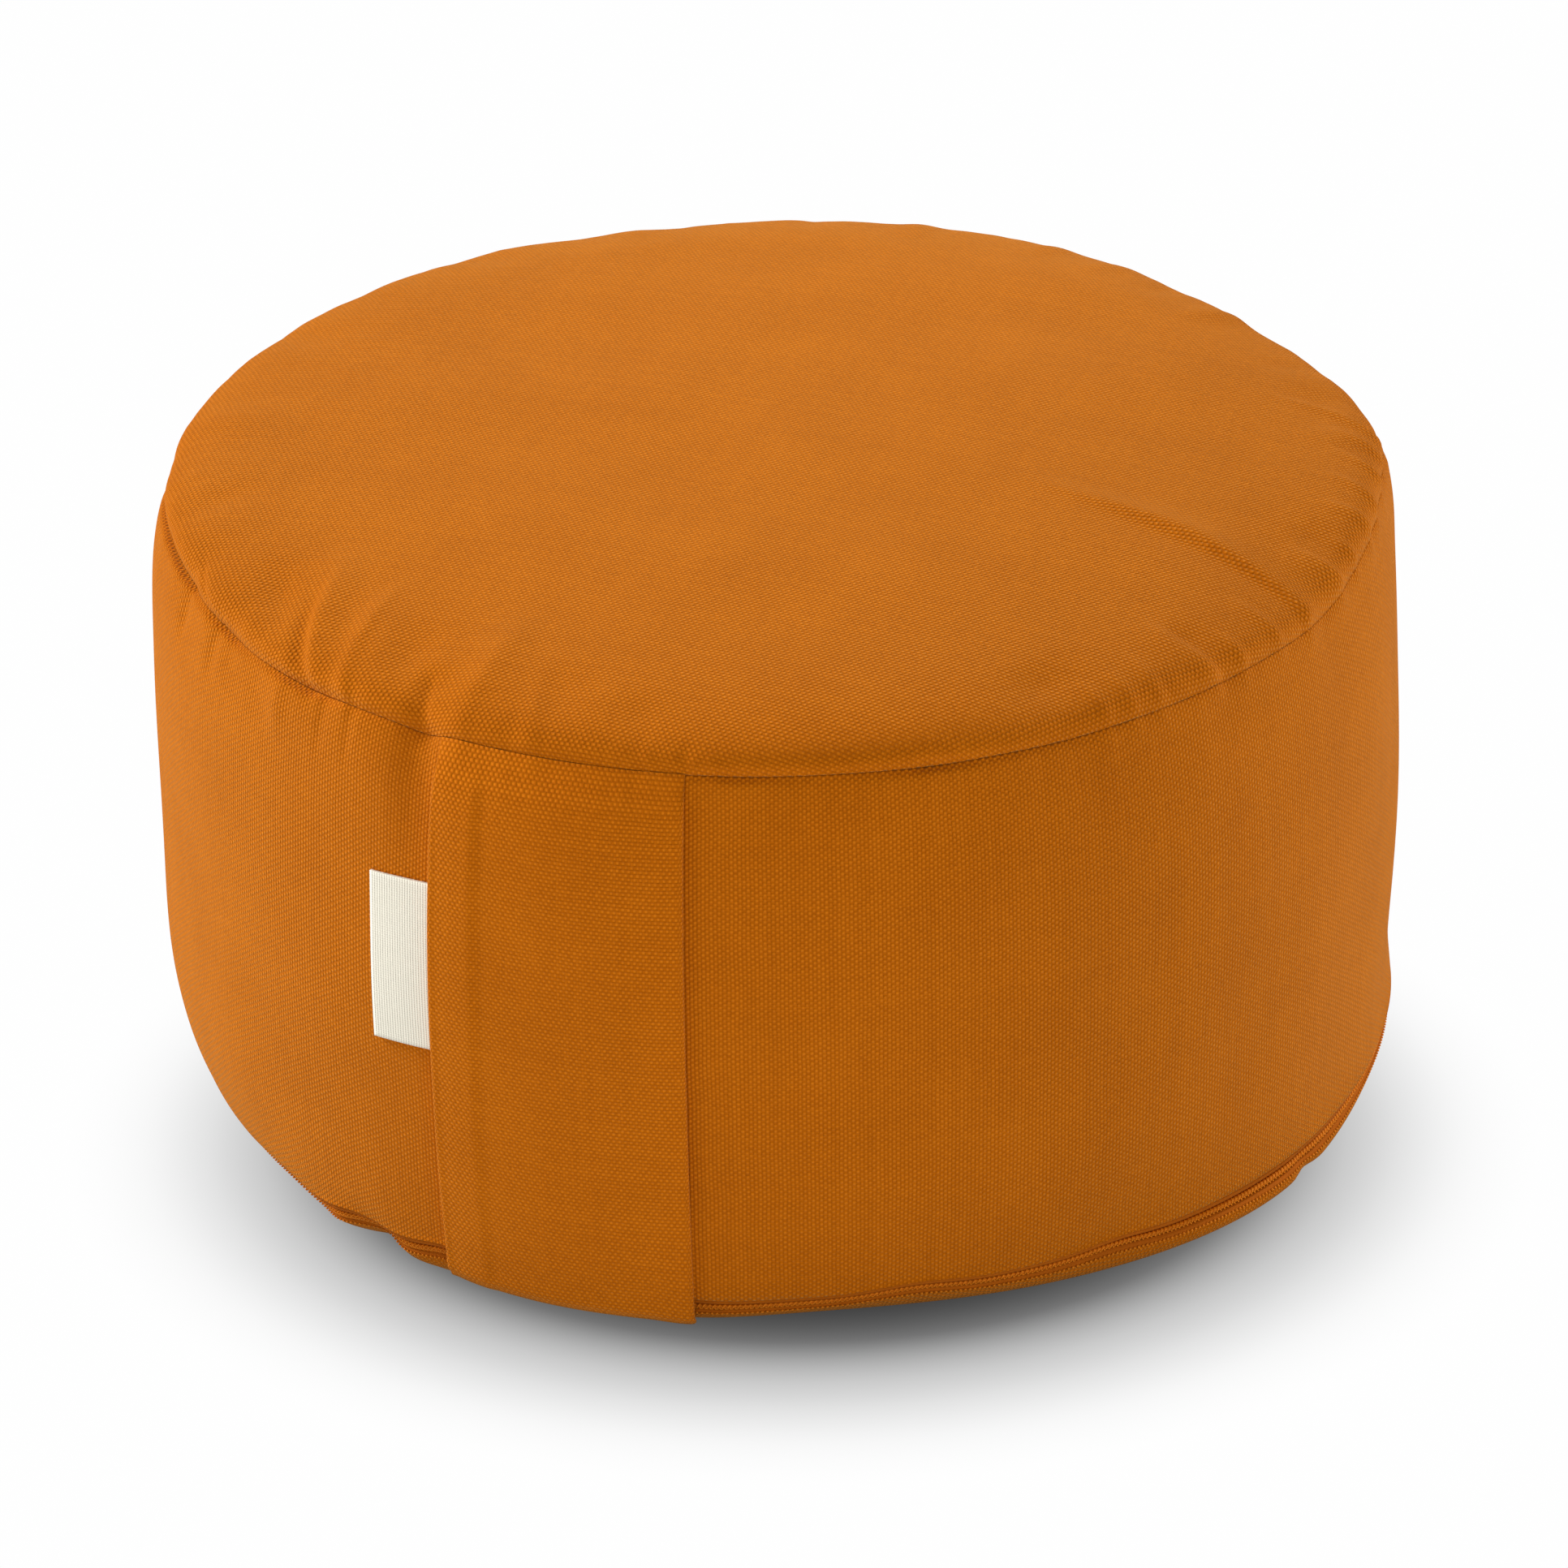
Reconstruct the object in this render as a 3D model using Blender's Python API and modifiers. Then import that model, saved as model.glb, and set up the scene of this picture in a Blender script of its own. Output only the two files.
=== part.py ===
"""Round meditation cushion (zafu) in cotton canvas.

One filled body, drawn in at a top seam and at a zip round its foot, is closed by a
crowned top panel and a flat bottom panel. A flat carry band runs down the front from
seam to seam, over the ends of the zip, with a small woven label tucked behind its edge.
Metres, +Z up. The origin is on the floor, under the middle, and the band faces -Y.
"""

import math

import bmesh
import bpy

# Driving dimensions
SEAM_RADIUS = 0.158  # top seam, where the top panel meets the side wall
SEAM_HEIGHT = 0.157
CROWN_RISE = 0.018  # middle of the top panel above its seam
CROWN_POWER = 2.5  # higher is flatter in the middle
SHOULDER_POWER = 2.75  # higher is squarer at the seam
BELLY_SWELL = 0.0084  # fullest part of the wall beyond the seam
BELLY_DEPTH = 0.105  # fullest part of the wall below the seam
BELLY_POWER = 3.0
NECK_POWER = 1.3
FOOT_TURN_IN = 0.0010  # from the fullest part in to the foot of the wall
WALL_FOOT = 0.0115  # the wall's lower lip, above the zip

CLOTH = 0.0015  # canvas with its turned allowance
GAP = 0.0003  # between neighbouring pieces
FILL_GAP = 0.0005  # between the filled body and the cloth laid on it

FLOOR_RADIUS = 0.1576  # flat part of the bottom panel
ROLL_RADIUS = 0.0060  # roll of the bottom panel up to the zip
LIP_EDGE = 0.0010  # rounding of the wall's lower lip
RECESS_DEPTH = 0.0045  # the recess under the lip, which holds the zip
RECESS_FALL = 0.0010  # how far the body draws in from the recess to the roll

TAPE_THICKNESS = 0.0009
TAPE_BOTTOM = 0.0064
TAPE_TOP = 0.0100
COIL_RADIUS = 0.0013
COIL_HEIGHT = 0.0082
ZIP_END_DEG = 4.0  # each end of the zip stops this far from the band's middle

BAND_WIDTH = 0.068
BAND_THICKNESS = 0.0024  # a folded strip, two layers
BAND_TOP = 0.1562
BAND_FOOT = 0.0048
BAND_SLACK = 0.0013  # between wall and band at mid height
BAND_SLACK_END = 0.96  # share of the way down past which the slack stays as it is
BAND_TUCK = 0.0014  # its foot turns in under the zip by this much
BAND_TUCK_HEIGHT = 0.0080  # the foot starts to turn in here
BAND_HEM = 0.0110  # raised hem along the left edge
BAND_HEM_RISE = 0.0003

LABEL_THICKNESS = 0.0008
LABEL_SHOWN = 0.0185  # from its free edge to the band
LABEL_TUCKED = 0.0030  # behind the band
LABEL_TOP = 0.1180
LABEL_HEIGHT = 0.0465
LABEL_DROP = 0.0020  # the free edge hangs this much lower

# How finely the round shapes are cut
COLUMNS = 120
FOOT_COLUMNS = 90
CROWN_RINGS = 8
WALL_RINGS = 9
WALL_RING_POWER = 1.6  # higher gathers the rings nearer the seam
ROLL_STEPS = 3
BAND_COLUMNS = 8
BAND_ROWS = 20
LABEL_COLUMNS = 3
LABEL_ROWS = 8
SMOOTH_EDGE_DEG = 40
NORMAL_STEP = 1e-5
MERGE = 1e-6

# How folds and slump spread over the cushion
SHOULDER_INSET = 0.030  # folds turn from upwards to outwards over this much of the edge
FOLD_RUN_OUT = 0.012  # folds of the wall run out this far above the seam
FOLD_HANG = 0.020  # folds of the top run out this far below it
FOLD_GROWTH = (-0.1, 0.6)  # share of its length over which a top fold grows
SEAM_HOLD = 0.45  # share of a top fold's lift that the stitched seam lets through
SEAM_HOLD_WIDTH = 0.014
TOP_CALM_RADIUS = 0.120  # inside this the slump no longer moves the top
SEAM_LIFT_DEPTH = 0.050  # how far down the wall a rise of the seam is felt


def named_rows(columns, rows):
    return [dict(zip(columns.split(), row)) for row in rows]


# Slump of the wall: how far it is pushed out (+) or in (-)
SWELLS = named_rows(
    "azimuth_deg height spread_deg spread_height push",
    [
        (-54, 0.004, 25, 0.020, -0.0038),  # tucked under at the left foot
        (-72, 0.146, 34, 0.018, 0.0014),  # full shoulder on the left
        (-72, 0.090, 30, 0.045, -0.0014),
        (25, 0.000, 19, 0.0065, -0.0050),  # the foot draws in at the front
        (-24, 0.001, 9, 0.008, -0.0020),
        (70, 0.000, 18, 0.0085, 0.0060),  # and rolls out at the right
        (101, 0.004, 15, 0.016, 0.0028),  # full foot at the right
        (119, 0.152, 9, 0.018, 0.0034),  # corner of the right shoulder
        (150, 0.150, 16, 0.030, -0.0012),
        (184, 0.070, 44, 0.070, 0.0026),
        (232, 0.090, 26, 0.045, -0.0014),
    ],
)

# The top seam rises (+) and dips (-) round the cushion
SEAM_LIFTS = named_rows(
    "azimuth_deg spread_deg lift",
    [
        (-57, 13, 0.0020),
        (-33, 10, -0.0012),
        (79, 8, -0.0014),
        (96, 11, 0.0026),
        (143, 17, -0.0030),
        (208, 20, -0.0018),
    ],
)

# Folds of the top panel run straight from one point to another, out to the seam
TOP_FOLDS = named_rows(
    "from_azimuth_deg from_radius to_azimuth_deg to_radius half_width lift",
    [
        (-40, 0.124, -28, 0.157, 0.0055, 0.0028),  # high ridge at the left front
        (-44, 0.138, -33, 0.157, 0.0055, -0.0026),
        (-30, 0.124, -21, 0.156, 0.0060, 0.0014),
        (-21, 0.132, -17, 0.156, 0.0055, -0.0014),
        (-12, 0.116, -10, 0.146, 0.0065, 0.0016),
        (-14.5, 0.144, -14.5, 0.158, 0.0050, -0.0024),  # beside the band
        (-3, 0.132, -1, 0.152, 0.0070, -0.0012),
        (5, 0.140, 7, 0.156, 0.0070, -0.0014),
        (13, 0.146, 14, 0.157, 0.0060, 0.0012),
        (45, 0.138, 46, 0.156, 0.0100, -0.0024),  # broad hollow at the right front
        (52, 0.140, 54, 0.156, 0.0055, 0.0012),
        (61, 0.142, 63, 0.157, 0.0055, -0.0028),
        (65, 0.142, 67, 0.157, 0.0045, 0.0014),
        (72, 0.136, 71, 0.157, 0.0055, -0.0012),
        (75.5, 0.092, 76, 0.156, 0.0055, -0.0014),
        (79.5, 0.068, 80, 0.157, 0.0055, 0.0024),  # long crease to the right
        (87, 0.140, 87, 0.158, 0.0060, -0.0020),
        (94, 0.138, 95, 0.158, 0.0055, 0.0014),
        (101, 0.140, 102, 0.158, 0.0055, -0.0014),
        (108, 0.136, 110, 0.158, 0.0060, 0.0014),
        (117, 0.134, 120, 0.158, 0.0070, -0.0012),
        (126, 0.128, 127, 0.157, 0.0080, -0.0006),
        (142, 0.124, 143, 0.157, 0.0080, 0.0016),
        (150, 0.128, 151, 0.157, 0.0070, -0.0014),
        (159, 0.126, 158, 0.157, 0.0080, 0.0012),
        (167, 0.130, 166, 0.157, 0.0070, 0.0018),
        (182, 0.124, 183, 0.157, 0.0090, 0.0016),
        (196, 0.128, 193, 0.157, 0.0080, -0.0014),
        (213, 0.122, 216, 0.157, 0.0085, 0.0016),
        (231, 0.126, 234, 0.157, 0.0080, -0.0014),
        (247, 0.128, 244, 0.157, 0.0070, 0.0012),
        (262, 0.124, 259, 0.157, 0.0085, -0.0012),
        (284, 0.118, 281, 0.157, 0.0080, 0.0010),
        (300, 0.130, 302, 0.157, 0.0070, -0.0012),
    ],
)

# Soft troughs and ridges that hang down the wall from the seam
WALL_FOLDS = named_rows(
    "azimuth_deg foot_azimuth_deg foot_height half_width lift",
    [
        (-15.5, -15.5, 0.112, 0.0060, -0.0020),  # beside the band
        (-33, -29, 0.132, 0.0060, 0.0012),
        (-40, -37, 0.138, 0.0060, -0.0012),
        (-50, -46, 0.128, 0.0080, -0.0012),
        (80, 81, 0.120, 0.0080, -0.0010),
        (134, 137, 0.110, 0.0080, 0.0006),
        (166, 164, 0.120, 0.0090, -0.0012),
        (214, 217, 0.116, 0.0090, 0.0012),
        (246, 243, 0.124, 0.0090, -0.0012),
        (287, 285, 0.126, 0.0090, -0.0010),
    ],
)


def turn_difference(azimuth_deg, other_deg):
    """Signed difference of two azimuths, from -180 to 180 degrees."""
    return (azimuth_deg - other_deg + 180) % 360 - 180


def bell(distance, spread):
    return math.exp(-((distance / spread) ** 2))


def ramp(value, low, high):
    """Smooth step from 0 at low to 1 at high."""
    share = min(max((value - low) / (high - low), 0), 1)
    return share * share * (3 - 2 * share)


def polar_point(azimuth_deg, radius, height=0.0):
    """Azimuth 0 is the front, -Y, and 90 is +X."""
    azimuth = math.radians(azimuth_deg)
    return radius * math.sin(azimuth), -radius * math.cos(azimuth), height


# The even cushion: its outer face, cut through the middle


def crown_height(radius):
    share = min(radius / SEAM_RADIUS, 1)
    return SEAM_HEIGHT + CROWN_RISE * (1 - share**CROWN_POWER) ** (1 / SHOULDER_POWER)


def wall_radius(height):
    depth = SEAM_HEIGHT - height
    if depth < BELLY_DEPTH:
        rise = 1 - (1 - max(depth, 0) / BELLY_DEPTH) ** BELLY_POWER
        return SEAM_RADIUS + BELLY_SWELL * rise ** (1 / NECK_POWER)
    turn_in = (depth - BELLY_DEPTH) / (SEAM_HEIGHT - WALL_FOOT - BELLY_DEPTH)
    return SEAM_RADIUS + BELLY_SWELL - FOOT_TURN_IN * turn_in**2


FOOT_RADIUS = wall_radius(WALL_FOOT)
RECESS_RADIUS = FOOT_RADIUS - RECESS_DEPTH
TAPE_INNER_RADIUS = RECESS_RADIUS + GAP
COIL_LINE_RADIUS = TAPE_INNER_RADIUS + TAPE_THICKNESS + GAP + COIL_RADIUS


def crown_profile(inset):
    """The top from the middle to the seam, moved in by inset along its normals."""
    points = [(0.0, crown_height(0) - inset)]
    for ring in range(1, CROWN_RINGS):
        radius = SEAM_RADIUS * (1 - (1 - ring / CROWN_RINGS) ** 2)
        fall = crown_height(radius - NORMAL_STEP) - crown_height(radius + NORMAL_STEP)
        length = math.hypot(2 * NORMAL_STEP, fall)
        moved_in = inset * fall / length
        moved_down = inset * 2 * NORMAL_STEP / length
        points.append((radius - moved_in, crown_height(radius) - moved_down))
    points.append((SEAM_RADIUS - inset, SEAM_HEIGHT))
    return points


def wall_profile():
    top = SEAM_HEIGHT - GAP
    points = []
    for ring in range(WALL_RINGS + 1):
        height = top - (top - WALL_FOOT) * (ring / WALL_RINGS) ** WALL_RING_POWER
        points.append((wall_radius(height), height))
    return points


def roll_profile(inset):
    """The bottom panel's rolled edge from its rim to the floor, moved in by inset."""
    points = []
    for step in range(ROLL_STEPS + 1):
        angle = math.radians(90 * step / ROLL_STEPS)
        out = FLOOR_RADIUS + (ROLL_RADIUS - inset) * math.cos(angle)
        points.append((out, ROLL_RADIUS - (ROLL_RADIUS - inset) * math.sin(angle)))
    return points


# The real cushion: slumped, and drawn into folds


def outward(radius, height):
    """Direction in which a fold stands: up on the top, out on the wall."""
    out = max(radius - SEAM_RADIUS + SHOULDER_INSET, 0)
    up = max(height - SEAM_HEIGHT + SHOULDER_INSET, 0)
    length = math.hypot(out, up)
    return (out / length, up / length) if length else (0.0, 1.0)


def place_on_fold(x, y, start, end):
    """(distance from the straight fold, share of the way along it)."""
    run_x, run_y = end[0] - start[0], end[1] - start[1]
    share = ((x - start[0]) * run_x + (y - start[1]) * run_y) / (run_x**2 + run_y**2)
    held = min(max(share, 0), 1)
    near_x, near_y = start[0] + held * run_x, start[1] + held * run_y
    return math.hypot(x - near_x, y - near_y), share


def top_fold_lift(x, y, height):
    fade = ramp(height, SEAM_HEIGHT - FOLD_HANG, SEAM_HEIGHT)
    if fade == 0:
        return 0.0
    lift = 0.0
    for fold in TOP_FOLDS:
        start = polar_point(fold["from_azimuth_deg"], fold["from_radius"])
        end = polar_point(fold["to_azimuth_deg"], fold["to_radius"])
        distance, share = place_on_fold(x, y, start, end)
        lift += fold["lift"] * ramp(share, *FOLD_GROWTH) * bell(distance, fold["half_width"])
    inset = SEAM_RADIUS - math.hypot(x, y)
    hold = SEAM_HOLD + (1 - SEAM_HOLD) * ramp(inset, 0, SEAM_HOLD_WIDTH)
    return lift * fade * hold


def wall_fold_lift(azimuth_deg, radius, height):
    lift = 0.0
    for fold in WALL_FOLDS:
        down = max(SEAM_HEIGHT - height, 0) / (SEAM_HEIGHT - fold["foot_height"])
        if down > 1:
            continue
        lean = fold["foot_azimuth_deg"] - fold["azimuth_deg"]
        turn = turn_difference(azimuth_deg, fold["azimuth_deg"] + down * lean)
        reach = bell(radius * math.radians(turn), fold["half_width"])
        lift += fold["lift"] * (1 - down) ** 2 * reach
    return lift * (1 - ramp(height, SEAM_HEIGHT, SEAM_HEIGHT + FOLD_RUN_OUT))


def settle(x, y, z):
    """Moves a point of the even cushion to its place on the real one."""
    radius = math.hypot(x, y)
    azimuth_deg = math.degrees(math.atan2(x, -y))
    near_edge = ramp(radius, TOP_CALM_RADIUS, SEAM_RADIUS)
    push = 0.0
    for swell in SWELLS:
        turn = turn_difference(azimuth_deg, swell["azimuth_deg"])
        reach = bell(turn, swell["spread_deg"]) * bell(z - swell["height"], swell["spread_height"])
        push += swell["push"] * reach * near_edge
    rise = 0.0
    for seam in SEAM_LIFTS:
        turn = turn_difference(azimuth_deg, seam["azimuth_deg"])
        felt = ramp(z, SEAM_HEIGHT - SEAM_LIFT_DEPTH, SEAM_HEIGHT) * near_edge
        rise += seam["lift"] * bell(turn, seam["spread_deg"]) * felt
    fold = top_fold_lift(x, y, z) + wall_fold_lift(azimuth_deg, radius, z)
    out, up = outward(radius, z)
    return polar_point(azimuth_deg, radius + push + fold * out, z + rise + fold * up)


# Making the pieces


def empty_scene():
    for thing in list(bpy.data.objects):
        bpy.data.objects.remove(thing, do_unlink=True)


def cloth_material(name, colour, roughness):
    material = bpy.data.materials.new(name)
    material.use_nodes = True
    shader = material.node_tree.nodes["Principled BSDF"]
    shader.inputs["Base Color"].default_value = (*colour, 1)
    shader.inputs["Roughness"].default_value = roughness
    shader.inputs["Metallic"].default_value = 0
    return material


def add_object(name, data, material, collection):
    piece = bpy.data.objects.new(name, data)
    collection.objects.link(piece)
    data.materials.append(material)
    return piece


def settled(piece, collection):
    """Makes the piece's modifiers or curve a mesh, then slumps and folds that mesh."""
    name = piece.name
    graph = bpy.context.evaluated_depsgraph_get()
    mesh = bpy.data.meshes.new_from_object(piece.evaluated_get(graph))
    bpy.data.objects.remove(piece, do_unlink=True)
    work = bmesh.new()
    work.from_mesh(mesh)
    bmesh.ops.remove_doubles(work, verts=work.verts, dist=MERGE)
    for vertex in work.verts:
        vertex.co = settle(*vertex.co)
    bmesh.ops.recalc_face_normals(work, faces=work.faces)
    bmesh.ops.triangulate(work, faces=work.faces, quad_method="SHORT_EDGE")
    work.to_mesh(mesh)
    work.free()
    mesh.name = name
    mesh.shade_smooth()
    mesh.set_sharp_from_angle(angle=math.radians(SMOOTH_EDGE_DEG))
    whole = bpy.data.objects.new(name, mesh)
    collection.objects.link(whole)
    return whole


def turned_piece(name, profile, columns, material, collection):
    """Turns a closed profile of (radius, height) about Z. It runs down its outer side."""
    mesh = bpy.data.meshes.new(name)
    edges = [(index, index + 1) for index in range(len(profile) - 1)]
    mesh.from_pydata([(radius, 0, height) for radius, height in profile], edges, [])
    piece = add_object(name, mesh, material, collection)
    screw = piece.modifiers.new("turn", "SCREW")
    screw.axis = "Z"
    screw.steps = columns
    screw.render_steps = columns
    screw.use_merge_vertices = True
    screw.merge_threshold = MERGE
    return settled(piece, collection)


def draped_strip(name, place, columns, rows, thickness, material, collection):
    """A sheet whose inner face is place(across, down), each from 0 to 1."""
    work = bmesh.new()
    grid = [
        [work.verts.new(place(column / columns, row / rows)) for column in range(columns + 1)]
        for row in range(rows + 1)
    ]
    for upper, lower in zip(grid, grid[1:]):
        for left in range(columns):
            work.faces.new((lower[left], lower[left + 1], upper[left + 1], upper[left]))
    mesh = bpy.data.meshes.new(name)
    work.to_mesh(mesh)
    work.free()
    piece = add_object(name, mesh, material, collection)
    shell = piece.modifiers.new("cloth", "SOLIDIFY")
    shell.thickness = thickness
    shell.offset = 1
    return settled(piece, collection)


def build_body(material, collection):
    """The side wall with the filling it holds."""
    inset = CLOTH + FILL_GAP
    ledge = (SEAM_RADIUS - inset, SEAM_HEIGHT - GAP)
    underside = [
        (FOOT_RADIUS - LIP_EDGE, WALL_FOOT - LIP_EDGE),
        (RECESS_RADIUS, WALL_FOOT - LIP_EDGE - GAP),
        (RECESS_RADIUS - RECESS_FALL / 3, ROLL_RADIUS),
        (RECESS_RADIUS - RECESS_FALL, ROLL_RADIUS / 2 + GAP),
        (FLOOR_RADIUS - FILL_GAP, inset),
        (0.0, inset),
    ]
    profile = crown_profile(inset)[:-1] + [ledge] + wall_profile() + underside
    return turned_piece("cushion_body", profile, COLUMNS, material, collection)


def build_top_panel(material, collection):
    profile = crown_profile(0.0) + crown_profile(CLOTH)[::-1]
    return turned_piece("top_panel", profile, COLUMNS, material, collection)


def build_bottom_panel(material, collection):
    inner = [(0.0, CLOTH), (FLOOR_RADIUS / 2, CLOTH)] + roll_profile(CLOTH)[::-1]
    outer = roll_profile(0.0) + [(FLOOR_RADIUS / 2, 0.0), (0.0, 0.0)]
    return turned_piece("bottom_panel", inner + outer, FOOT_COLUMNS, material, collection)


def zip_azimuth(share):
    """The zip runs the whole way round, from one side of the band's middle to the other."""
    return ZIP_END_DEG + (360 - 2 * ZIP_END_DEG) * share


def build_zip_tape(material, collection):
    def place(across, down):
        height = TAPE_TOP + down * (TAPE_BOTTOM - TAPE_TOP)
        return polar_point(zip_azimuth(across), TAPE_INNER_RADIUS, height)

    return draped_strip(
        "zip_tape", place, FOOT_COLUMNS, 1, TAPE_THICKNESS, material, collection
    )


def build_zip_coil(material, collection):
    """The closed coil as one round cord, lying on the tape."""
    curve = bpy.data.curves.new("zip_coil", "CURVE")
    curve.dimensions = "3D"
    curve.bevel_depth = COIL_RADIUS
    curve.bevel_resolution = 1
    curve.use_fill_caps = True
    spline = curve.splines.new("POLY")
    spline.points.add(FOOT_COLUMNS)
    for index, point in enumerate(spline.points):
        azimuth_deg = zip_azimuth(index / FOOT_COLUMNS)
        point.co = (*polar_point(azimuth_deg, COIL_LINE_RADIUS, COIL_HEIGHT), 1)
    piece = add_object("zip_coil", curve, material, collection)
    return settled(piece, collection)


def build_carry_band(material, collection):
    """Lies on the wall, a little slack at mid height, and turns in at its foot."""

    def place(across, down):
        height = BAND_TOP + down * (BAND_FOOT - BAND_TOP)
        slack = BAND_SLACK * math.sqrt(math.sin(math.pi * min(down, BAND_SLACK_END)))
        radius = wall_radius(max(height, WALL_FOOT)) + GAP + slack
        radius -= BAND_TUCK * (1 - ramp(height, BAND_FOOT, BAND_TUCK_HEIGHT))
        if across * BAND_WIDTH < BAND_HEM:
            radius += BAND_HEM_RISE
        azimuth_deg = math.degrees(BAND_WIDTH * (across - 0.5) / radius)
        return polar_point(azimuth_deg, radius, height)

    return draped_strip(
        "carry_band", place, BAND_COLUMNS, BAND_ROWS, BAND_THICKNESS, material, collection
    )


def build_label(material, collection):
    """Lies on the wall, and its right edge is tucked behind the band."""

    def place(across, down):
        height = LABEL_TOP - down * LABEL_HEIGHT - (1 - across) * LABEL_DROP
        radius = wall_radius(height) + GAP
        free_edge = -BAND_WIDTH / 2 - LABEL_SHOWN
        along = free_edge + across * (LABEL_SHOWN + LABEL_TUCKED)
        return polar_point(math.degrees(along / radius), radius, height)

    return draped_strip(
        "woven_label", place, LABEL_COLUMNS, LABEL_ROWS, LABEL_THICKNESS, material, collection
    )


def main():
    empty_scene()
    cushion = bpy.data.collections.new("zafu_meditation_cushion")
    bpy.context.scene.collection.children.link(cushion)
    wall_canvas = cloth_material("wall_canvas", (0.50, 0.155, 0.018), 0.90)
    panel_canvas = cloth_material("panel_canvas", (0.52, 0.165, 0.020), 0.90)
    band_canvas = cloth_material("band_canvas", (0.49, 0.150, 0.018), 0.88)
    zip_cloth = cloth_material("zip_cloth", (0.46, 0.130, 0.012), 0.75)
    zip_nylon = cloth_material("zip_nylon", (0.56, 0.180, 0.022), 0.45)
    cream_weave = cloth_material("cream_weave", (0.78, 0.72, 0.60), 0.80)
    build_body(wall_canvas, cushion)
    build_top_panel(panel_canvas, cushion)
    build_bottom_panel(panel_canvas, cushion)
    build_zip_tape(zip_cloth, cushion)
    build_zip_coil(zip_nylon, cushion)
    build_carry_band(band_canvas, cushion)
    build_label(cream_weave, cushion)


main()
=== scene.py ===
import math

import bmesh
import bpy
import numpy as np
from mathutils import Matrix, Vector


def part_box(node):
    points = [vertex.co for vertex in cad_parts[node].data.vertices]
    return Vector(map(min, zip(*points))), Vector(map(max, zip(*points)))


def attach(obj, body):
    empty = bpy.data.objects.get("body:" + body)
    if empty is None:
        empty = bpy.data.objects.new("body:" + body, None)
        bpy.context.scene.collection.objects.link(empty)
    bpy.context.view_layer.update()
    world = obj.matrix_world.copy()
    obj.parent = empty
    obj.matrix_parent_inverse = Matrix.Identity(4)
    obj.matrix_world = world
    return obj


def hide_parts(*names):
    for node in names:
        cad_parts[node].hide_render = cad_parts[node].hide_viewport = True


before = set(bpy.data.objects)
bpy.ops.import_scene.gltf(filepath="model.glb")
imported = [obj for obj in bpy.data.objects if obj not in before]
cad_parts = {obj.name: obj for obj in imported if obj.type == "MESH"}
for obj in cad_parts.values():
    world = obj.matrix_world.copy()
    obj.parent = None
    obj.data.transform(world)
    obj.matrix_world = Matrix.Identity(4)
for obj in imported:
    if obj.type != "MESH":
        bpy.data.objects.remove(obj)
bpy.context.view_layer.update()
print("frame loaded:", ", ".join(sorted(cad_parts)))

# lengths are in metres and angles in degrees
# azimuth 0 is the front, -Y, where the band hangs, and 90 is +X
seamHeight = 0.157
seamSlit = 0.0001  # between the top panel's edge and the wall's
even = {  # the cushion before it slumps, cut through its middle
    "seamRadius": 0.158,
    "crownRise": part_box("top_panel")[1].z - seamHeight,
    "crownPower": 2.5,  # higher is flatter in the middle
    "shoulderPower": 2.75,  # higher is squarer at the seam
    "bellySwell": 0.0084,  # fullest part of the wall, beyond the seam
    "bellyDepth": 0.105,  # and this far below it
    "bellyPower": 3.0,
    "neckPower": 1.3,
    "footTurnIn": 0.0010,
    "wallFoot": 0.0118,  # the wall's lower lip, above the zip
    "floorRadius": 0.1576,  # flat part of the bottom panel
    "rollRadius": 0.0060,  # roll of the bottom panel up to the zip
    "recess": 0.0045,  # depth of the recess that holds the zip
    "cloth": 0.0015,
    "gap": 0.0003,
}

# slump of the wall: azimuth, height, spread round, spread up, push out
wallPushes = [
    (-54, 0.004, 25, 0.020, -0.0038),  # tucked under at the left foot
    (-72, 0.146, 34, 0.018, 0.0014),  # full shoulder on the left
    (-72, 0.090, 30, 0.045, -0.0014),
    (25, 0.000, 19, 0.0065, -0.0050),  # the foot draws in at the front
    (-24, 0.001, 9, 0.008, -0.0020),
    (70, 0.000, 18, 0.0085, 0.0060),  # and rolls out at the right
    (119, 0.152, 9, 0.018, 0.0034),  # corner of the right shoulder
    (150, 0.150, 16, 0.030, -0.0012),
    (184, 0.070, 44, 0.070, 0.0026),
    (232, 0.090, 26, 0.045, -0.0014),
    (101, 0.004, 15, 0.016, 0.0028),  # full foot at the right
    (12, 0.000, 7, 0.0065, 0.0016),
    (-44, 0.002, 17, 0.008, -0.0030),  # the zip is tucked away at the left
    (-25, 0.004, 2.4, 0.007, 0.0024),  # and the foot waves beside the band
    (-20, 0.002, 2.0, 0.007, -0.0028),
    (-16, 0.003, 2.4, 0.006, 0.0012),
    (74, 0.001, 1.6, 0.006, -0.0016),
]
# the seam rises and dips: azimuth, spread round, lift
seamLifts = [(-57, 13, 0.0020), (-33, 10, -0.0012), (79, 8, -0.0014), (96, 11, 0.0026),
             (143, 17, -0.0020), (184, 8, -0.0016), (208, 20, -0.0018), (215, 9, -0.0016)]
# so does the zip
zipLifts = [(-43, 13, -0.0030), (-28, 4.5, -0.0028), (-18, 3.5, -0.0016), (-12, 2.5, 0.0008),
            (13, 6, -0.0012), (31, 5, 0.0018), (41, 5, 0.0005), (50, 4.5, 0.0015), (78, 16, -0.0024)]


def rampUp(value, low, high):
    share = np.clip((value - low) / (high - low), 0, 1)
    return share * share * (3 - 2 * share)


def bell(distance, spread):
    return np.exp(-((distance / spread) ** 2))


def turnFrom(azimuth, other):
    return (azimuth - other + 180) % 360 - 180


def polar(azimuth, radius, height):
    turn = np.radians(azimuth)
    return np.stack(np.broadcast_arrays(radius * np.sin(turn), -radius * np.cos(turn), height), -1)


def lengthsAlong(radii, heights):
    return np.concatenate([[0], np.cumsum(np.hypot(np.diff(radii), np.diff(heights)))])


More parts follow.
